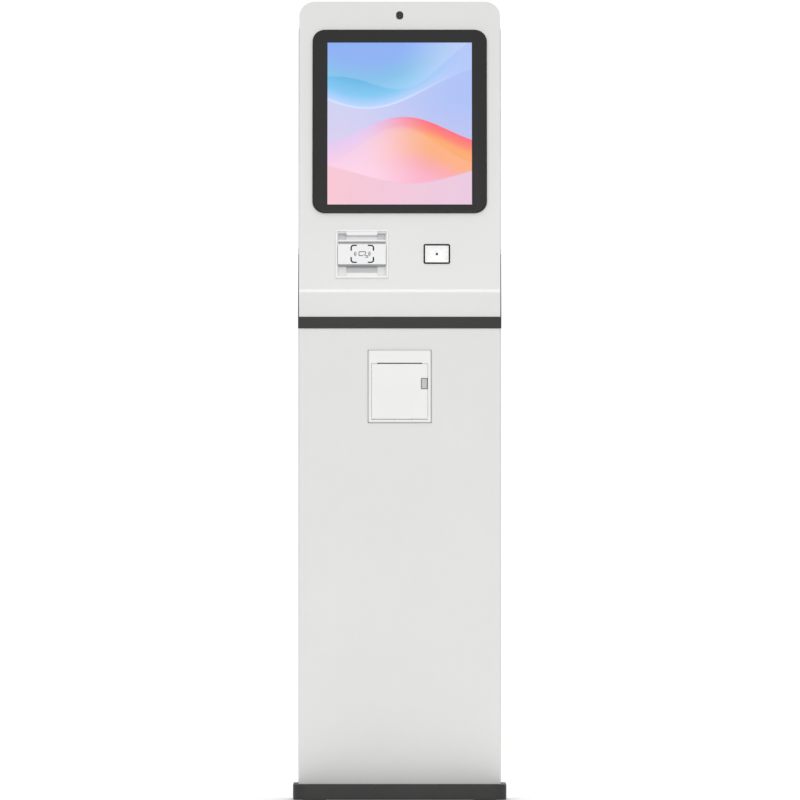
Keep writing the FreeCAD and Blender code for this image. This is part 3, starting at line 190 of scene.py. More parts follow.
class Look:
    """A procedural material being built, measured in the object's own coordinates."""

    def __init__(self, name, **settings):
        self.material = bpy.data.materials.new(name)
        self.material.use_nodes = True
        self.tree = self.material.node_tree
        self.shader = self.tree.nodes["Principled BSDF"]
        self.place = self.tree.nodes.new("ShaderNodeTexCoord").outputs["Object"]
        for label, value in settings.items():
            self.shader.inputs[label.replace("_", " ")].default_value = value

    def axes(self):
        node = self.tree.nodes.new("ShaderNodeSeparateXYZ")
        self.tree.links.new(self.place, node.inputs[0])
        return [Field(outlet) for outlet in node.outputs]

    def stretched(self, stretch):
        node = self.tree.nodes.new("ShaderNodeMapping")
        node.inputs["Scale"].default_value = stretch
        self.tree.links.new(self.place, node.inputs["Vector"])
        return node.outputs[0]

    def noise(self, scale, detail=3.0, stretch=None):
        node = self.tree.nodes.new("ShaderNodeTexNoise")
        node.inputs["Scale"].default_value = scale
        node.inputs["Detail"].default_value = detail
        source = self.stretched(stretch) if stretch else self.place
        self.tree.links.new(source, node.inputs["Vector"])
        return Field(node.outputs[0])

    def cells(self, scale, feature="F1", outlet="Distance"):
        node = self.tree.nodes.new("ShaderNodeTexVoronoi")
        node.feature = feature
        node.inputs["Scale"].default_value = scale
        self.tree.links.new(self.place, node.inputs["Vector"])
        return Field(node.outputs[outlet])

    def colour(self, field):
        field.feed(self.shader.inputs["Base Color"])
        return self

    def rough(self, field, low, high):
        (field * (high - low) + low).feed(self.shader.inputs["Roughness"])
        return self

    def bump(self, field, depth):
        """Raise the surface by the field times depth, on top of any bump already there."""
        node = self.tree.nodes.new("ShaderNodeBump")
        node.inputs["Strength"].default_value = 1.0
        node.inputs["Distance"].default_value = depth
        normal = self.shader.inputs["Normal"]
        if normal.is_linked:
            self.tree.links.new(normal.links[0].from_socket, node.inputs["Normal"])
        field.feed(node.inputs["Height"])
        self.tree.links.new(node.outputs[0], normal)
        return self


# ---------------------------------------------------------------- materials

def powder_coat(name, dark, light, low, high, grain, **settings):
    """Baked powder paint: a fine orange peel, with a tone that drifts a little over each panel."""
    look = Look(name, **settings)
    drift = look.noise(5, 2) * 0.7 + look.noise(45, 4) * 0.3
    look.colour(drift.ramp((0.3, dark), (0.7, light)))
    look.rough(look.noise(90, 3), low, high)
    look.bump(look.noise(grain, 2), 0.03 * MM)
    pores = look.cells(grain * 1.7, "SMOOTH_F1")
    return look.bump(pores, 0.02 * MM).material


def moulded(name, dark, light, low, high, grain=1500, **settings):
    """Injection-moulded plastic with a spark-eroded texture and faint flow marks."""
    look = Look(name, **settings)
    drift = look.noise(14, 3) * 0.6 + look.noise(160, 3) * 0.4
    look.colour(drift.ramp((0.3, dark), (0.7, light)))
    look.rough(look.noise(60, 4), low, high)
    return look.bump(look.noise(grain, 3), 0.02 * MM).material


def shaded_reader_plastic(name, *stops):
    """White moulded plastic with painted shade in its recesses: its colour is read off the stops by
    how far the surface stands out of the tilted face, from 0 at 10 mm behind the face to 1 at 10 mm in
    front of it."""
    look = Look(name)
    _, y, z = look.axes()
    out = (z - FOLD) * math.sin(TILT) - (y - FRONT) * math.cos(TILT)
    reach = 10 * MM
    depth = out * (1 / (2 * reach)) + 0.5
    # painted shade: the deeper a surface lies behind the face, the darker the stop it takes
    look.colour((depth + (look.noise(160, 3) - 0.5) * 0.02).ramp(*stops))
    look.rough(look.noise(60, 4), 0.35, 0.45)
    return look.bump(look.noise(1500, 3), 0.02 * MM).material


def zinc_plate(name, dark, light):
    """Galvanised and passivated steel: spangle cells, with a faint brushed grain."""
    look = Look(name, Metallic=1.0)
    spangle = look.cells(130, "F1", "Color").math("MULTIPLY", 0.6) + look.noise(25, 4) * 0.4
    look.colour(spangle.ramp((0.15, dark), (0.85, light)))
    look.rough(look.noise(70, 4) * 0.6 + spangle * 0.4, 0.3, 0.5)
    return look.bump(look.noise(900, 3, (1, 1, 0.15)), 0.01 * MM).material


def polished(name, dark, light, low, high):
    """Bright plated metal with hairline scratches and handling marks."""
    look = Look(name, Metallic=1.0)
    scratches = look.noise(260, 5, (1, 0.08, 1)) * 0.6 + look.noise(40, 3) * 0.4
    look.colour(scratches.ramp((0.3, dark), (0.7, light)))
    look.rough(scratches, low, high)
    return look.bump(scratches, 0.006 * MM).material


def rubber(name, dark, light):
    look = Look(name, Specular_IOR_Level=0.3)
    bloom = look.noise(60, 5)
    look.colour(bloom.ramp((0.35, dark), (0.7, light)))
    look.rough(bloom, 0.65, 0.9)
    return look.bump(look.noise(1100, 3), 0.05 * MM).material


def brushed(name, dark, light, low, high):
    """Anodised aluminium, brushed along its length."""
    look = Look(name, Metallic=1.0)
    grain = look.noise(700, 4, (1, 0.02, 1)) * 0.6 + look.noise(12, 3) * 0.4
    look.colour(grain.ramp((0.35, dark), (0.65, light)))
    look.rough(grain, low, high)
    return look.bump(grain, 0.01 * MM).material


def cover_glass():
    """Hardened cover glass with a thin film of fingermarks in its gloss."""
    look = Look("Cover glass", Transmission_Weight=1.0, IOR=1.46, Specular_IOR_Level=0.25)
    smears = look.noise(18, 5) * 0.7 + look.noise(220, 3, (1, 0.4, 0.4)) * 0.3
    look.colour(smears.ramp((0.3, "fbfdfd"), (0.7, "ffffff")))
    return look.rough(smears.step(0.45, 0.8), 0.0, 0.03).material


def lens_glass():
    """Smoked acrylic over a camera: almost black, glossy, with a faint violet coating."""
    look = Look("Smoked lens", Coat_Weight=0.6, Coat_Roughness=0.03, Specular_IOR_Level=0.4)
    tint = look.noise(120, 2)
    look.colour(tint.ramp((0.3, "060709"), (0.7, "0c0c12")))
    return look.rough(tint, 0.12, 0.2).material


def circuit_board():
    """Green solder mask, with the copper below it showing as lighter tracks and pads."""
    look = Look("Solder mask", Coat_Weight=0.4, Coat_Roughness=0.15)
    tracks = look.cells(260, "DISTANCE_TO_EDGE").step(0.05, 0.09).inverse()
    pads = look.cells(420).step(0.12, 0.16).inverse()
    fill = look.noise(30, 3).ramp((0.3, "0d4427"), (0.7, "14562f"))
    look.colour(pads.mix(tracks.mix(fill, "2d8049"), "b89d52"))
    look.rough(look.noise(90, 3), 0.3, 0.45)
    return look.bump(tracks + pads, 0.03 * MM).material


def receipt_paper():
    """Thermal paper: smooth and matt outside, with the edges of its many turns on the ends."""
    look = Look("Thermal paper", Specular_IOR_Level=0.2, Subsurface_Weight=0.05)
    centre = middle("paper_roll")
    _, y, z = look.axes()
    radius = ((y - centre.y).math("POWER", 2.0) + (z - centre.z).math("POWER", 2.0)).math("SQRT")
    radians_per_metre = 9000.0
    turns = (radius * radians_per_metre).math("SINE") * 0.5 + 0.5
    fibres = look.noise(700, 4)
    look.colour((turns * 0.35 + fibres * 0.65).ramp((0.2, "e6e6e0"), (0.8, "fafaf6")))
    look.rough(fibres, 0.6, 0.75)
    look.bump(turns, 0.01 * MM)
    return look.bump(fibres, 0.015 * MM).material


def card_core():
    look = Look("Card tube", Specular_IOR_Level=0.15)
    fibres = look.noise(500, 6, (0.3, 1, 1))
    look.colour(fibres.ramp((0.3, "8a6a48"), (0.7, "b4936a")))
    look.rough(fibres, 0.8, 0.95)
    return look.bump(fibres, 0.06 * MM).material


def display_picture():
    """A lit wallpaper of plain sine waves: cool over warm over pink, in front of a pastel sky.
    across and rise run from 0 to 1 over the visible screen."""
    look = Look("Display picture", Base_Color=(0.01, 0.01, 0.012, 1), Emission_Strength=1.0)
    x, y, z = look.axes()
    across = x * (0.5 / SCREEN_HALF) + 0.5
    climb = (y - FRONT) * math.sin(TILT) + (z - FOLD) * math.cos(TILT)
    rise = (climb - SCREEN_LOW) * (1 / (SCREEN_HIGH - SCREEN_LOW))

    def wave(level, swing, pace, start):
        return (across * pace + start).math("SINE") * swing + level

    def within(gap):
        return gap.step(0.0, 0.01)

    dusk = across.ramp((0.0, "e6c8e2"), (1.0, "dcc6e2"))
    sky = across.step(0.05, 0.95).mix("cccdf0", "a9bdf3")
    picture = rise.inverse().step(0.3, 1.05).mix(sky, dusk)

    shore = rise - wave(0.72, -0.13, 3.6, 0.6)
    cool = shore.ramp((0.0, "e4ecff"), (0.02, "b4d0fa"), (0.08, "7cc4f0"), (0.18, "5cb2e2"),
                      (0.3, "6a9cee"))
    cool = across.step(0.45, 1.0).mix(cool, "b0c4f6")
    picture = within(shore).mix(picture, cool)
    picture = (within(shore - wave(0.12, 0.06, 7.0, 0.4)) * 0.14).mix(picture, "eaf2ff")

    glow = wave(0.47, 0.08, 5.2, -1.2) - rise
    warm = glow.ramp((0.0, "ff5f78"), (0.05, "fb7a6c"), (0.1, "f9a566"), (0.2, "f9a26e"),
                     (0.28, "f79aa4"), (0.36, "f7a2c2"))
    pale = glow.ramp((0.0, "dcc6f0"), (0.12, "f3c8e6"), (0.3, "fbd0ea"))
    picture = within(glow).mix(picture, across.step(0.2, 0.75).mix(pale, warm))
    picture = (within(glow - wave(0.1, 0.04, 6.0, 2.0)) * 0.12).mix(picture, "ffe2cc")
    swell = wave(0.2, 0.06, 4.4, 2.2) - rise
    picture = within(swell).mix(picture, across.ramp((0.0, "f6c2cf"), (1.0, "e6c4dc")))

    backlight = look.noise(11, 1) * 0.03 + 0.985
    node = look.tree.nodes.new("ShaderNodeVectorMath")
    node.operation = "SCALE"
    picture.feed(node.inputs[0])
    backlight.feed(node.inputs["Scale"])
    look.tree.links.new(node.outputs[0], look.shader.inputs["Emission Color"])
    return look.rough(look.noise(400, 2), 0.35, 0.5).material


LOOKS = {
    "casing_paint": powder_coat("Light grey powder coat", "e6e6e5", "e9e9e8", 0.42, 0.5, 700,
                                Coat_Weight=0.7, Coat_Roughness=0.2),
    "dark_paint": powder_coat("Charcoal powder coat", "2a2a29", "30302f", 0.55, 0.68, 600),
    "foot_rubber": rubber("Foot rubber", "151515", "232323"),
    "zinc_steel": zinc_plate("Zinc-plated steel", "94979c", "c8cace"),
    "bright_chrome": polished("Chrome plate", "b8babd", "e6e7ea", 0.06, 0.16),
    "bezel_black": moulded("Black bezel plastic", "141414", "191919", 0.4, 0.5,
                           Specular_IOR_Level=0.25, Coat_Weight=0.3, Coat_Roughness=0.12),
    "touch_glass": cover_glass(),
    "screen": display_picture(),
    "lens_black": lens_glass(),
    "circuit_board": circuit_board(),
    # painted shade: the reader's recess floors come out grey and its rims white by how deep they lie
    "reader_white": shaded_reader_plastic("White reader plastic with painted recess shade", (0.0, "d6d7d8"), (0.17, "d8d9da"),
                                   (0.2, "eeeeee"), (0.5, "e9e9e9"), (0.6, "f3f3f3"),
                                   (0.7, "f7f7f7")),
    "printer_white": moulded("White printer plastic", "f3f3f2", "f6f6f5", 0.38, 0.48),
    "latch_grey": moulded("Grey latch plastic", "c2c3c5", "cccdcf", 0.35, 0.45),
    "module_black": moulded("Black module plastic", "17181a", "202124", 0.45, 0.6, 900),
    "roller_rubber": rubber("Roller rubber", "26282b", "34373b"),
    "gear_white": moulded("Acetal gear", "d8d6cc", "e6e4da", 0.3, 0.4, Subsurface_Weight=0.1),
    "motor_steel": polished("Motor can steel", "8c8d90", "bfc0c4", 0.2, 0.35),
    "receipt_paper": receipt_paper(),
    "core_card": card_core(),
    "computer_aluminium": brushed("Brushed aluminium", "7d8186", "a9adb2", 0.28, 0.42),
    "cable_black": rubber("Cable sheath", "101112", "1c1d1f"),
    "breaker_grey": moulded("Breaker casing", "c6c8c6", "d2d4d2", 0.4, 0.5),
}
INK = moulded("Printed black ink", "0c0c0d", "121213", 0.55, 0.7, Specular_IOR_Level=0.1)
# painted shade: the pad's sides and underside, less than about 5 mm out of the face, are grey
SHADED_PAD = shaded_reader_plastic("White pad plastic with painted side shade", (0.2, "b4b5b6"), (0.74, "bcbdbe"), (0.77, "f3f3f3"),
                     (1.0, "f7f7f7"))
# painted glow: the white hood gives off light of its own to stay bright
GLOWING_HOOD = moulded("Scanner hood with painted glow", "f6f6f6", "f9f9f9", 0.5, 0.6, Emission_Strength=0.1,
               Emission_Color=(1, 1, 1, 1))
SCANNER_RIM = moulded("Black scanner rim", "0a0a0b", "0e0e0f", 0.5, 0.6, Specular_IOR_Level=0.06)
# painted shadow: the gasket's grey stands for the shadow line round the printer's bezel
SHADOW_GASKET = rubber("Grey gasket painting a shadow line", "8c8d8e", "9a9b9c")
# painted shade: the latch button's dark rim stands for the shadow round its edges
LATCH_SHADE_RIM = rubber("Latch rim of painted shade", "5c5d5f", "6a6b6d")
FOAM = rubber("Foam seal", "1b1c1e", "2b2c2f")


# ---------------------------------------------------------------- mesh building blocks

def finished(name, mesh, body, slot, look=None, crease=32.0, round_edges=0.0):
    """Puts a mesh in the scene as a piece that rides on a body, smooth except at its creases."""
    for face in mesh.polygons:
        face.use_smooth = True
    mesh.set_sharp_from_angle(angle=math.radians(crease))
    mesh.materials.clear()
    mesh.materials.append(look or LOOKS[slot])
    obj = bpy.data.objects.new(name, mesh)
    bpy.context.scene.collection.objects.link(obj)
    if round_edges:
        bevel = obj.modifiers.new("edges", "BEVEL")
        bevel.width = round_edges
        bevel.segments = 2
        bevel.limit_method = "ANGLE"
        bevel.angle_limit = math.radians(crease)
        bevel.harden_normals = True
    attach(obj, body)
    return obj


def piece(name, bm, body, slot, **finish):
    bmesh.ops.recalc_face_normals(bm, faces=bm.faces)
    mesh = bpy.data.meshes.new(name)
    bm.to_mesh(mesh)
    bm.free()
    return finished(name, mesh, body, slot, **finish)


def lathe(bm, origin, axis, profile, steps=36):
    """Adds a turned solid. profile lists (radius, height) along the axis, starting and ending on it.
    A third number makes that ring a polygon with so many sides."""
    turn = Vector((0, 0, 1)).rotation_difference(Vector(axis)).to_matrix()
    rings = []
    for radius, height, *sides in profile:
        if radius == 0:
            rings.append([bm.verts.new(origin + turn @ Vector((0, 0, height)))])
            continue
        ring = []
        for i in range(steps):
            angle = 2 * math.pi * i / steps
            reach = radius
            if sides:
                slice_angle = 2 * math.pi / sides[0]
                reach = radius / math.cos(angle % slice_angle - slice_angle / 2)
            spot = Vector((reach * math.cos(angle), reach * math.sin(angle), height))
            ring.append(bm.verts.new(origin + turn @ spot))
        rings.append(ring)
    for low, high in zip(rings, rings[1:]):
        for i in range(steps):
            corners = [low[i % len(low)], low[(i + 1) % len(low)],
                       high[(i + 1) % len(high)], high[i % len(high)]]
            bm.faces.new(list(dict.fromkeys(corners)))


def prism(bm, outline, place, low, high):
    """Adds a solid with a flat outline. place turns (x, y, height) into a point."""
    floor = [bm.verts.new(place(x, y, low)) for x, y in outline]
    roof = [bm.verts.new(place(x, y, high)) for x, y in outline]
    bm.faces.new(floor[::-1])
    bm.faces.new(roof)
    count = len(outline)
    for i in range(count):
        bm.faces.new([floor[i], floor[(i + 1) % count], roof[(i + 1) % count], roof[i]])


def block(bm, centre, size, turn=Matrix.Identity(3)):
    """Adds a box with its edges taken off."""
    cut = min(size) * 0.12
    half_x, half_y, half_z = (s / 2 for s in size)
    corners = [(half_x - cut, half_y), (half_x, half_y - cut)]
    outline = [(x * sx, y * sy) for sx, sy in ((1, 1), (1, -1), (-1, -1), (-1, 1))
               for x, y in (corners if sx * sy > 0 else corners[::-1])]
    prism(bm, outline, lambda x, y, h: Vector(centre) + turn @ Vector((x, y, h)), -half_z, half_z)


def upright_frame(bm, near, far, inner, outer):
    """Adds a hollow upright frame from y near to y far. inner and outer are (low, high) corners, each
    an (x, z)."""
    rings = [[bm.verts.new((x, y, z)) for x, z in
              ((low[0], low[1]), (high[0], low[1]), (high[0], high[1]), (low[0], high[1]))]
             for y, (low, high) in ((near, inner), (near, outer), (far, outer), (far, inner))]
    for first, second in zip(rings, rings[1:] + rings[:1]):
        for i in range(4):
            k = (i + 1) % 4
            bm.faces.new([first[i], first[k], second[k], second[i]])


def arc(x, y, radius, start, end, steps=10):
    angles = [math.radians(start + (end - start) * i / steps) for i in range(steps + 1)]
    return [(x + radius * math.cos(a), y + radius * math.sin(a)) for a in angles]


def stroke(points, width):
    """The outline of a round-ended pen stroke along points."""
    half = width / 2
    left, right = [], []
    for i, (x, y) in enumerate(points):
        x0, y0 = points[max(i - 1, 0)]
        x1, y1 = points[min(i + 1, len(points) - 1)]
        length = math.hypot(x1 - x0, y1 - y0)
        nx, ny = (y0 - y1) / length * half, (x1 - x0) / length * half
        left.append((x + nx, y + ny))
        right.append((x - nx, y - ny))
    (ax, ay), (bx, by) = points[0], points[-1]
    tail = math.degrees(math.atan2(left[0][1] - ay, left[0][0] - ax))
    head = math.degrees(math.atan2(right[-1][1] - by, right[-1][0] - bx))
    return (left + arc(bx, by, half, head + 180, head, 6)[1:-1] + right[::-1]
            + arc(ax, ay, half, tail + 180, tail, 6)[1:-1])


def softened(node, radius, crease=28.0):
    """Stands a copy of a CAD node in its place, with its sharp edges broken by a small radius."""
    source = nodes[node]
    bm = bmesh.new()
    bm.from_mesh(source.data)
    bmesh.ops.remove_doubles(bm, verts=bm.verts, dist=0.002 * MM)
    bmesh.ops.dissolve_limit(bm, angle_limit=math.radians(0.5), verts=bm.verts, edges=bm.edges)
    mesh = bpy.data.meshes.new(node + "_skin")
    bm.to_mesh(mesh)
    bm.free()
    for attribute in ("custom_normal", "sharp_edge", "sharp_face"):
        if attribute in mesh.attributes:
            mesh.attributes.remove(mesh.attributes[attribute])
    skin = finished(node + "_skin", mesh, source["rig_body"], SLOT_OF[node], crease=crease,
                    round_edges=radius)
    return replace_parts(skin, node)


# ---------------------------------------------------------------- camera, lights and floor

def make_camera():
    """A very long lens at half the kiosk's height, straight on, as wide as the kiosk is tall."""
    distance = 65.0
    data = bpy.data.cameras.new("camera")
    data.sensor_width = 36.0
    data.lens = data.sensor_width * distance / KIOSK_HEIGHT
    data.clip_end = distance + 10
    camera = bpy.data.objects.new("camera", data)
    bpy.context.scene.collection.objects.link(camera)
    camera.location = (0.6 * MM, FRONT - distance, KIOSK_HEIGHT / 2)
    camera.rotation_euler = (math.radians(90), 0, 0)
    bpy.context.scene.camera = camera


def softbox(name, place, aim, width, height, power):
    data = bpy.data.lights.new(name, "AREA")
    data.shape = "RECTANGLE"
    data.size = width
    data.size_y = height
    data.energy = power
    lamp = bpy.data.objects.new(name, data)
    bpy.context.scene.collection.objects.link(lamp)
    lamp.location = place
    lamp.rotation_euler = (Vector(aim) - Vector(place)).to_track_quat("-Z", "Y").to_euler()
    lamp.visible_camera = False


def make_studio():
    """A bright wall behind the kiosk and a greyer room round it, with a soft box at each end. The
    camera sees the ground beyond the floor as white; it sheds no light of its own."""
    world = bpy.data.worlds.new("studio")
    bpy.context.scene.world = world
    world.use_nodes = True
    tree = world.node_tree
    background = tree.nodes["Background"]
    background.inputs["Color"].default_value = (1, 1, 1, 1)
    coordinates = tree.nodes.new("ShaderNodeTexCoord")
    parts = tree.nodes.new("ShaderNodeSeparateXYZ")
    tree.links.new(coordinates.outputs["Generated"], parts.inputs[0])
    side, depth, height = (Field(outlet) for outlet in parts.outputs)
    glow = depth.step(0.2, 0.85) * 0.42 + 0.64
    glow = glow + height.step(0.1, 0.9) * 0.3 - side.math("ABSOLUTE").step(0.25, 0.95) * 0.42
    seen = Field(tree.nodes.new("ShaderNodeLightPath").outputs["Is Camera Ray"])
    ground = height.step(-0.12, -0.02).inverse() * seen
    glow = glow * ground.inverse() + ground
    glow.feed(background.inputs["Strength"])

    softbox("key", (0, -2.8, 2.2), (0, 0, 0.85), 1.5, 1.0, 28)
    softbox("back_fill", (0.6, 3.0, 2.0), (0, 0, 0.8), 1.6, 1.6, 16)
    bpy.context.scene.view_settings.view_transform = "Standard"
    bpy.context.scene.view_settings.look = "None"

    look = Look("Pale studio floor", Specular_IOR_Level=0.1, Emission_Color=(1, 1, 1, 1),
                Emission_Strength=0.11)
    look.colour(look.noise(3, 3).ramp((0.3, "f8f8f8"), (0.7, "fcfcfc")))
    look.rough(look.noise(40, 3), 0.8, 0.9)
    bm = bmesh.new()
    floor_radius = 1.6
    bmesh.ops.create_circle(bm, cap_ends=True, radius=floor_radius, segments=128)
    mesh = bpy.data.meshes.new("floor")
    bm.to_mesh(mesh)
    bm.free()
    mesh.materials.append(look.material)
    floor = bpy.data.objects.new("floor", mesh)
    bpy.context.scene.collection.objects.link(floor)


# ---------------------------------------------------------------- pieces

SKIN_EDGES = {
    "column_shell": 0.5, "head_shell": 0.6, "head_rear_cover": 0.6, "lower_rear_panel": 0.5,
    "upper_door_rail": 0.4, "upper_rear_panel": 0.5, "rear_door": 0.6, "accent_band": 0.3,
    "base_plate": 0.4, "display_bezel": 0.4, "reader_housing": 0.5, "reader_pad": 0.5,
    "scanner_frame": 0.35, "scanner_hood": 0.2, "printer_bezel": 0.4, "printer_door": 0.6,
    "printer_latch": 0.5, "camera_window": 0.3, "rubber_feet": 0.8, "equipment_shelf": 0.4,
    "computer": 0.4, "power_supply": 0.6, "circuit_breaker": 0.8, "printer_case": 0.4,
    "fan_frame": 0.5, "mains_inlet": 0.4, "power_switch": 0.5, "scanner_engine": 0.4,
}


def make_skins():
    for node, radius in SKIN_EDGES.items():
        softened(node, radius * MM)


def dress_nodes():
    """Gives the CAD nodes that stay in view the procedural material of their slot."""
    for name, node in nodes.items():
        node.material_slots[0].material = LOOKS[SLOT_OF[name]]
    # the pad's look carries painted side shade and the hood's look a painted glow
    for skin, look in (("reader_pad_skin", SHADED_PAD), ("scanner_hood_skin", GLOWING_HOOD),
                       ("scanner_frame_skin", SCANNER_RIM)):
        bpy.data.objects[skin].material_slots[0].material = look


def make_pay_mark():
    """A generic tap-to-pay mark inlaid in the reader's pad: a card between two pairs of waves, in a
    frame of four corners."""
    low, high = face_box("reader_pad")
    centre_across = (low[0] + high[0]) / 2 + 0.8 * MM
    centre_up = (low[1] + high[1]) / 2 + 0.4 * MM
    top = high[2]
    bm = bmesh.new()

    def place(x, y, height):
        return on_face(centre_across + x * MM, centre_up + y * MM, top + height * MM)

    def ink(points, width):
        prism(bm, stroke(points, width), place, -0.4, 0.12)

    half_wide, half_tall, corner, pen = 20.9, 17.6, 5.0, 2.6
    for sx in (-1, 1):
        for sy in (-1, 1):
            bend = arc(half_wide - corner, half_tall - corner, corner, 0, 90)
            path = [(half_wide, half_tall - 10), *bend, (half_wide - 9.5, half_tall)]
            ink([(x * sx, y * sy) for x, y in path], pen)
    card = [(6.2, -0.5), *arc(4.9, 3.2, 1.3, 0, 90, 5), *arc(-4.9, 3.2, 1.3, 90, 180, 5),
            *arc(-4.9, -2.4, 1.3, 180, 270, 5), (1.0, -3.7)]
    ink(card, 1.3)
    finger = [(3.0, -1.6), (6.8, -4.4), *arc(8.6, -5.6, 1.9, 130, -60, 6), (6.4, -7.2)]
    ink(finger, 1.2)
    for side in (-1, 1):
        for radius in (3.2, 5.6):
            wave = arc(side * 9.2, 0.0, radius, 48, -48, 10)
            ink([(side * (x - side * 9.2) + side * 9.2, y) for x, y in wave], 1.1)
    piece("pay_mark", bm, "cabinet", "bezel_black", look=INK)


def make_camera_lens():
    """The lens barrel behind the smoked window: a stepped ring round a domed front element."""
    low, high = face_box("camera_window")
    centre = on_face(0, (low[1] + high[1]) / 2 - 1.5 * MM, high[2])
    ring = bmesh.new()
    lathe(ring, centre, OUT, [(0, -0.6 * MM), (3.4 * MM, -0.6 * MM), (3.4 * MM, 0.1 * MM),
                              (3.1 * MM, 0.25 * MM), (2.6 * MM, 0.25 * MM), (2.3 * MM, 0.0),
                              (0, 0.0)])
    piece("camera_lens_ring", ring, "cabinet", "module_black")
    dome = bmesh.new()
    curve = [(2.3 * MM * math.cos(math.radians(a)), 0.55 * MM * math.sin(math.radians(a)))
             for a in range(0, 90, 15)]
    lathe(dome, centre, OUT, [(0, -0.2 * MM), (2.3 * MM, -0.2 * MM), *curve, (0, 0.55 * MM)])
    piece("camera_lens_glass", dome, "cabinet", "lens_black")


def screw(bm, centre, axis, radius):
    """A button-head screw with a hexagon socket."""
    socket, rise = radius * 0.5, radius * 0.55
    dome = [(radius * math.cos(math.radians(a)), rise * (0.25 + 0.75 * math.sin(math.radians(a))))
            for a in range(0, 60, 12)]
    lathe(bm, centre, axis, [(0, -0.3 * MM), (radius * 0.98, -0.3 * MM), *dome,
                             (socket * 1.15, rise), (socket, rise * 0.9, 6),
                             (socket, rise * 0.3, 6), (0, rise * 0.25)])


def make_case_screws():
    """Button-head screws that hold the rear cover and the two fixed rear panels."""
    bm = bmesh.new()
    back = Vector((0, 1, 0))
    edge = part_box("column_shell")[1].x - 9 * MM
    cover_low, cover_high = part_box("head_rear_cover")
    upright_share = 0.71
    knee = cover_low.z + upright_share * (cover_high.z - cover_low.z)
    top = face_box("head_rear_cover")[1][1]
    slab = min((v.co - FACE_ORIGIN).dot(OUT) for v in nodes["head_rear_cover"].data.vertices
               if (v.co - FACE_ORIGIN).dot(UP) > top - 1 * MM)
    for side in (-1, 1):
        for share in (0.14, 0.5, 0.86):
            height = cover_low.z + share * (knee - cover_low.z)
            screw(bm, Vector((side * edge, REAR, height)), back, 3.5 * MM)
        panel_low, panel_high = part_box("upper_rear_panel")
        for height in (panel_low.z + 14 * MM, panel_high.z - 26 * MM):
            screw(bm, Vector((side * edge, REAR, height)), back, 3.5 * MM)
        sill_low, sill_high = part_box("lower_rear_panel")
        for height in (sill_low.z + 14 * MM, sill_high.z - 14 * MM):
            screw(bm, Vector((side * (edge - 6 * MM), sill_high.y, height)), back, 3.5 * MM)
        screw(bm, on_face(side * edge, top - 26 * MM, slab), -OUT, 3.5 * MM)
    piece("case_screws", bm, "cabinet", "zinc_steel")


def make_printer_shadow_gasket():
    """A grey rubber gasket between the printer's bezel and the column, its grey standing in as a
    painted shadow line round the bezel.
    """
    low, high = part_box("printer_bezel")

    def grown(by):
        return (low.x - by, low.z - by), (high.x + by, high.z + by * 0.5)

    bm = bmesh.new()
    upright_frame(bm, FRONT - 1.2 * MM, FRONT - 0.02 * MM, grown(-1.0 * MM), grown(1.1 * MM))
    piece("printer_shadow_gasket", bm, "cabinet", "foot_rubber", look=SHADOW_GASKET, round_edges=0.3 * MM)


def make_lock_face():
    """The key slot in the lock's plug, with a raised rim round the housing's face."""
    low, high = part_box("lock_plug")
    face = Vector(((low.x + high.x) / 2, high.y, (low.z + high.z) / 2))
    out = Vector((0, 1, 0))
    plug = bmesh.new()
    lathe(plug, face, out, [(0, -0.4 * MM), (5.4 * MM, -0.4 * MM), (5.4 * MM, 0.1 * MM),
                            (5.0 * MM, 0.45 * MM), (4.2 * MM, 0.45 * MM), (3.9 * MM, 0.15 * MM),
                            (0, 0.15 * MM)])
    piece("lock_plug_face", plug, "door_lock", "bright_chrome")
    slit = bmesh.new()
    prism(slit, stroke([(0, -2.6), (0, 2.6)], 1.3),
          lambda x, y, h: face + Vector((x, h, y)) * MM, 0.05, 0.25)
    piece("lock_key_slot", slit, "door_lock", "bezel_black", look=INK)


def make_door_seal():
    """A strip of foam down each side of the doorway, on the column's inturned edges."""
    low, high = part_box("rear_door")
    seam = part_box("column_shell")[1].y
    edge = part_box("column_shell")[1].x - 10 * MM
    bm = bmesh.new()
    outline = [(-4.5, 0), (4.5, 0), *arc(0, 0.2, 4.5, 0, 180, 8)]
    flat = [(x, y * 0.33) for x, y in outline]
    for spot in (-edge, edge - 5 * MM):
        prism(bm, flat, lambda x, y, h: Vector((spot + x * MM, seam + y * MM, h)),
              low.z + 4 * MM, high.z - 4 * MM)
    piece("door_seal", bm, "cabinet", "foot_rubber", look=FOAM)


def make_switch_marks():
    """The bar and ring moulded into the mains switch."""
    low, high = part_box("power_switch")
    centre = middle("power_switch")
    bm = bmesh.new()
    upper = Vector((centre.x, high.y, high.z - 3.4 * MM))
    lower = Vector((centre.x, 0, low.z + 3.4 * MM))
    bar_face, ring_face = (max(v.co.y for v in nodes["power_switch"].data.vertices
                               if abs(v.co.z - spot.z) < 4.2 * MM) for spot in (upper, lower))
    rocker_tall = 17
    slant = (bar_face - ring_face) / rocker_tall
    prism(bm, stroke([(0, -1.3), (0, 1.3)], 0.7),
          lambda x, y, h: Vector((upper.x + x * MM, bar_face - 1.0 * MM + y * slant + h * MM,
                                  upper.z + y * MM)), -0.6, 0.6)
    lathe(bm, Vector((lower.x, ring_face - 0.2 * MM, lower.z)), Vector((0, 1, 0)),
          [(0, -0.8 * MM), (1.7 * MM, -0.8 * MM), (1.7 * MM, 0.3 * MM), (1.1 * MM, 0.3 * MM),
           (1.1 * MM, 0.0), (0, 0.0)], 24)
    piece("switch_marks", bm, "switch", "printer_white")


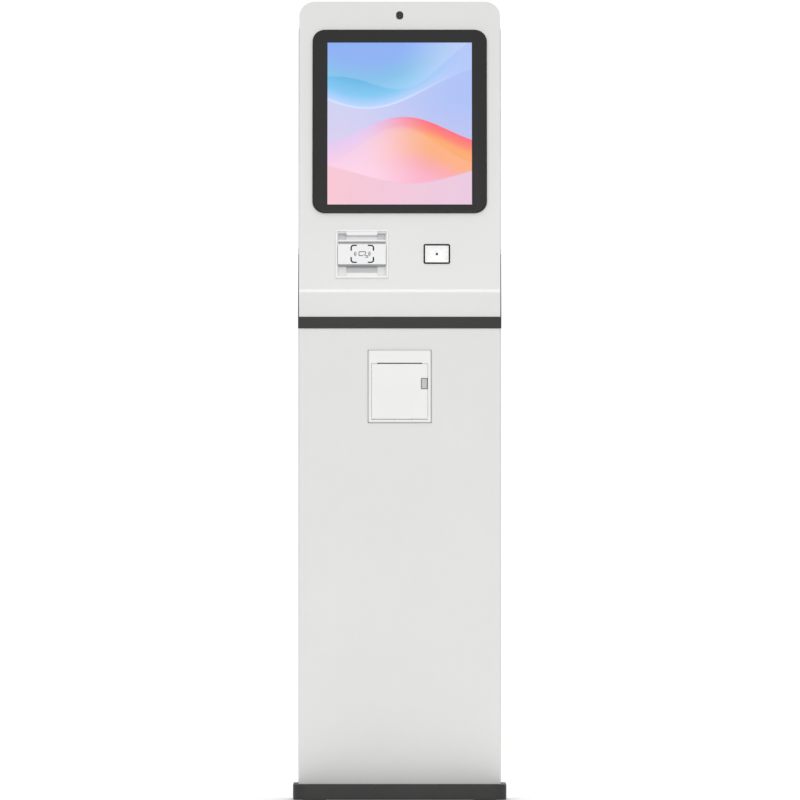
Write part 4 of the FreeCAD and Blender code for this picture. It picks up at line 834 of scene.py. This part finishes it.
def make_computer_front():
    """Sockets, a button and a power jack on the end of the computer that faces the rear door, and
    the plugs of the leads that end there."""
    low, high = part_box("computer")
    middle_z = low.z + 16 * MM
    end = high.y
    dark, bright = bmesh.new(), bmesh.new()

    def port(offset, wide, tall):
        centre = Vector((low.x + offset * MM, end, middle_z))
        block(bright, centre, (wide * MM + 1.2 * MM, 1.2 * MM, tall * MM + 1.2 * MM))
        block(dark, centre + Vector((0, 0.5 * MM, 0)), (wide * MM, 0.8 * MM, tall * MM))

    for offset, wide, tall in ((24, 13, 5), (40, 13, 5), (60, 15.5, 13), (80, 15.5, 13),
                               (102, 16, 6), (124, 15, 5.5)):
        port(offset, wide, tall)
    out = Vector((0, 1, 0))
    button = Vector((high.x - 34 * MM, end, middle_z))
    lathe(bright, button, out, [(0, 0), (5.5 * MM, 0), (5.5 * MM, 1.0 * MM), (4.6 * MM, 1.6 * MM),
                                (4.2 * MM, 1.2 * MM), (3.8 * MM, 1.8 * MM), (0, 2.0 * MM)])
    jack = Vector((high.x - 16 * MM, end, middle_z))
    lathe(bright, jack, out, [(0, 0), (4.8 * MM, 0), (4.8 * MM, 3 * MM), (3.6 * MM, 3.4 * MM),
                              (3.2 * MM, 0.6 * MM), (1.0 * MM, 0.5 * MM), (1.0 * MM, 2.6 * MM),
                              (0, 2.8 * MM)])
    piece("computer_ports", bright, "cabinet", "motor_steel", round_edges=0.15 * MM)
    piece("computer_port_tongues", dark, "cabinet", "module_black")

    plugs = bmesh.new()
    for offset, wide, tall in ((24, 14, 7), (40, 14, 7), (102, 19, 9), (124, 18, 9)):
        axis = Vector((low.x + offset * MM, end, middle_z))
        block(plugs, axis + Vector((0, 6.2 * MM, 0)), (wide * MM, 11 * MM, tall * MM))
        lathe(plugs, axis, out, [(0, 11.2 * MM), (3.3 * MM, 11.2 * MM), (3.3 * MM, 12.5 * MM),
                                 (3.0 * MM, 13 * MM), (3.0 * MM, 14.5 * MM), (2.7 * MM, 15 * MM),
                                 (2.7 * MM, 17 * MM), (0, 17 * MM)], 24)
    lathe(plugs, jack, out, [(0, 3.5 * MM), (4.6 * MM, 3.5 * MM), (5.0 * MM, 4 * MM),
                             (5.0 * MM, 13 * MM), (3.0 * MM, 15 * MM), (2.8 * MM, 18 * MM),
                             (0, 18 * MM)])
    piece("lead_plugs", plugs, "cabinet", "module_black", round_edges=0.5 * MM)


def make_lead_glands():
    """Moulded glands where the power leads enter the supply and the breaker's poles."""
    supply_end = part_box("power_supply")[1].y
    low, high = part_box("circuit_breaker")
    mains, direct = 3.5, 2.5
    clamp_y = -108 * MM
    bm = bmesh.new()
    for centre, out, bore in (
            (Vector((-130 * MM, supply_end, 352 * MM)), Vector((0, 1, 0)), mains),
            (Vector((-75 * MM, supply_end, 348 * MM)), Vector((0, 1, 0)), direct),
            (Vector((-9 * MM, clamp_y, high.z)), Vector((0, 0, 1)), mains),
            (Vector((-27 * MM, clamp_y, low.z)), Vector((0, 0, -1)), mains)):
        lathe(bm, centre, out,
              [(0, 0), ((bore + 3.4) * MM, 0), ((bore + 3.4) * MM, 2.5 * MM),
               ((bore + 2.4) * MM, 3 * MM), ((bore + 2.4) * MM, 6 * MM),
               ((bore + 0.6) * MM, 9 * MM), (0, 9 * MM)], 32)
    piece("lead_glands", bm, "cabinet", "module_black", round_edges=0.3 * MM)


def make_latch_rim():
    """A dark rim round the front of the printer's latch button, painted shade for its shadowed edges.
    """
    low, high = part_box("printer_latch")

    def shrunk(by):
        return (low.x + by, low.z + by), (high.x - by, high.z - by)

    proud, thick = 0.15 * MM, 0.6 * MM
    bm = bmesh.new()
    upright_frame(bm, low.y - proud, low.y - proud + thick, shrunk(1.1 * MM), shrunk(0.2 * MM))
    piece("latch_rim", bm, "latch_button", "latch_grey", look=LATCH_SHADE_RIM)


def make_supply_terminals():
    """The power supply's screw terminals with walls between them, at the end facing the door."""
    low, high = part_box("power_supply")
    body, metal = bmesh.new(), bmesh.new()
    count, pitch = 7, 10 * MM
    start = (low.x + high.x) / 2 - (count - 1) / 2 * pitch
    base = Vector((0, high.y + 6 * MM, low.z + 11 * MM))
    for i in range(count):
        x = start + i * pitch
        block(body, (x, base.y, base.z - 3 * MM), (pitch * 0.96, 12 * MM, 9 * MM))
        block(body, (x + pitch / 2, base.y, base.z + 3.5 * MM), (1.2 * MM, 12 * MM, 8 * MM))
        screw(metal, Vector((x, base.y, base.z + 1.6 * MM)), Vector((0, 0, 1)), 2.8 * MM)
    piece("supply_terminal_block", body, "cabinet", "module_black", round_edges=0.2 * MM)
    piece("supply_terminal_screws", metal, "cabinet", "zinc_steel")


def make_breaker_face():
    """Two toggles joined by a bar, four terminal screws and the seam between the breaker's poles."""
    low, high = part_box("circuit_breaker")
    centre = middle("circuit_breaker")
    toggles, screws = bmesh.new(), bmesh.new()
    pole = (high.x - low.x) / 2
    for side in (-1, 1):
        x = centre.x + side * pole / 2
        block(toggles, (x, high.y + 2.5 * MM, centre.z + 5 * MM), (9 * MM, 8 * MM, 9 * MM))
        for end in (low.z + 9 * MM, high.z - 9 * MM):
            screw(screws, Vector((x, low.y + 42.6 * MM, end)), Vector((0, 1, 0)), 3.4 * MM)
    block(toggles, (centre.x, high.y + 5.5 * MM, centre.z + 5 * MM),
          (pole * 1.6, 3 * MM, 5 * MM))
    block(toggles, (centre.x, high.y - 0.2 * MM, centre.z), (0.6 * MM, 0.8 * MM, 43 * MM))
    piece("breaker_toggles", toggles, "cabinet", "module_black", round_edges=0.4 * MM)
    piece("breaker_screws", screws, "cabinet", "zinc_steel")


def make_board_parts():
    """Chips, coils, capacitors and plug headers on the back of the display's controller board."""
    low, high = face_box("display_board")
    turn = Matrix((ACROSS, UP, OUT)).transposed()
    chips, metal = bmesh.new(), bmesh.new()
    back = low[2]
    span_across, span_up = high[0] - low[0], high[1] - low[1]

    def at(share_across, share_up, out):
        return on_face(low[0] + share_across * span_across, low[1] + share_up * span_up,
                       back - out)

    for across, up, wide, tall, thick in ((0.5, 0.5, 20, 20, 2.2), (0.28, 0.62, 12, 9, 1.6),
                                          (0.7, 0.3, 9, 9, 1.6), (0.72, 0.7, 14, 6, 1.4)):
        block(chips, at(across, up, thick / 2 * MM), (wide * MM, tall * MM, thick * MM), turn)
    for across in (0.1, 0.3, 0.86):
        block(chips, at(across, 0.07, 3 * MM), (18 * MM, 7 * MM, 6 * MM), turn)
    scatter = random.Random(7)
    component_count = 46
    for _ in range(component_count):
        across, up = scatter.uniform(0.05, 0.95), scatter.uniform(0.14, 0.94)
        block(metal, at(across, up, 0.5 * MM), (2.2 * MM, 1.2 * MM, 1.0 * MM), turn)
    for across, up in ((0.12, 0.8), (0.2, 0.8), (0.88, 0.86), (0.88, 0.55)):
        lathe(metal, at(across, up, 0), -OUT, [(0, 0), (3.4 * MM, 0), (3.4 * MM, 1 * MM),
                                               (3.1 * MM, 1.4 * MM), (3.3 * MM, 2 * MM),
                                               (3.3 * MM, 8 * MM), (2.8 * MM, 8.6 * MM),
                                               (0, 8.5 * MM)], 24)
    piece("board_chips", chips, "cabinet", "module_black", round_edges=0.15 * MM)
    piece("board_components", metal, "cabinet", "motor_steel")


def make_paper_web():
    """The loose end of the receipt paper: off the roll, up past the print head and out at the slot."""
    roll = middle("paper_roll")
    roll_low, roll_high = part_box("paper_roll")
    radius = (roll_high.z - roll_low.z) / 2
    roller_low, roller_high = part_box("platen_roller")
    half = (roll_high.x - roll_low.x) / 2 - 0.4 * MM
    gap = 0.12 * MM
    touch_y = (roller_low.y + roller_high.y) / 2
    points = [(roll.y + (radius + gap) * math.cos(math.radians(a)),
               roll.z + (radius + gap) * math.sin(math.radians(a))) for a in (60, 80, 100, 118)]
    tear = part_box("tear_bar")[0]
    top = (touch_y + 1 * MM, roller_high.z + 0.25 * MM)
    start = points[-1]
    for share in (0.35, 0.7):
        points.append((start[0] + share * (top[0] + 6 * MM - start[0]),
                       start[1] + share * (top[1] - 2 * MM - start[1])))
    points += [(top[0] + 5 * MM, top[1] - 0.8 * MM), top, (touch_y - 6 * MM, tear.z - 1.0 * MM)]
    sheet = bmesh.new()
    columns = 8
    rows = [[sheet.verts.new((-half + 2 * half * i / columns, y, z)) for i in range(columns + 1)]
            for y, z in points]
    for lower, upper in zip(rows, rows[1:]):
        for i in range(columns):
            sheet.faces.new([lower[i], lower[i + 1], upper[i + 1], upper[i]])
    web = piece("paper_web", sheet, "cabinet", "receipt_paper")
    thickness = web.modifiers.new("thickness", "SOLIDIFY")
    thickness.thickness = 0.07 * MM
    smooth = web.modifiers.new("smooth", "SUBSURF")
    smooth.levels = smooth.render_levels = 2


make_camera()
make_studio()
make_skins()
dress_nodes()
make_pay_mark()
make_camera_lens()
make_case_screws()
make_printer_shadow_gasket()
make_lock_face()
make_door_seal()
make_switch_marks()
make_computer_front()
make_supply_terminals()
make_breaker_face()
make_lead_glands()
make_latch_rim()
make_board_parts()
make_paper_web()
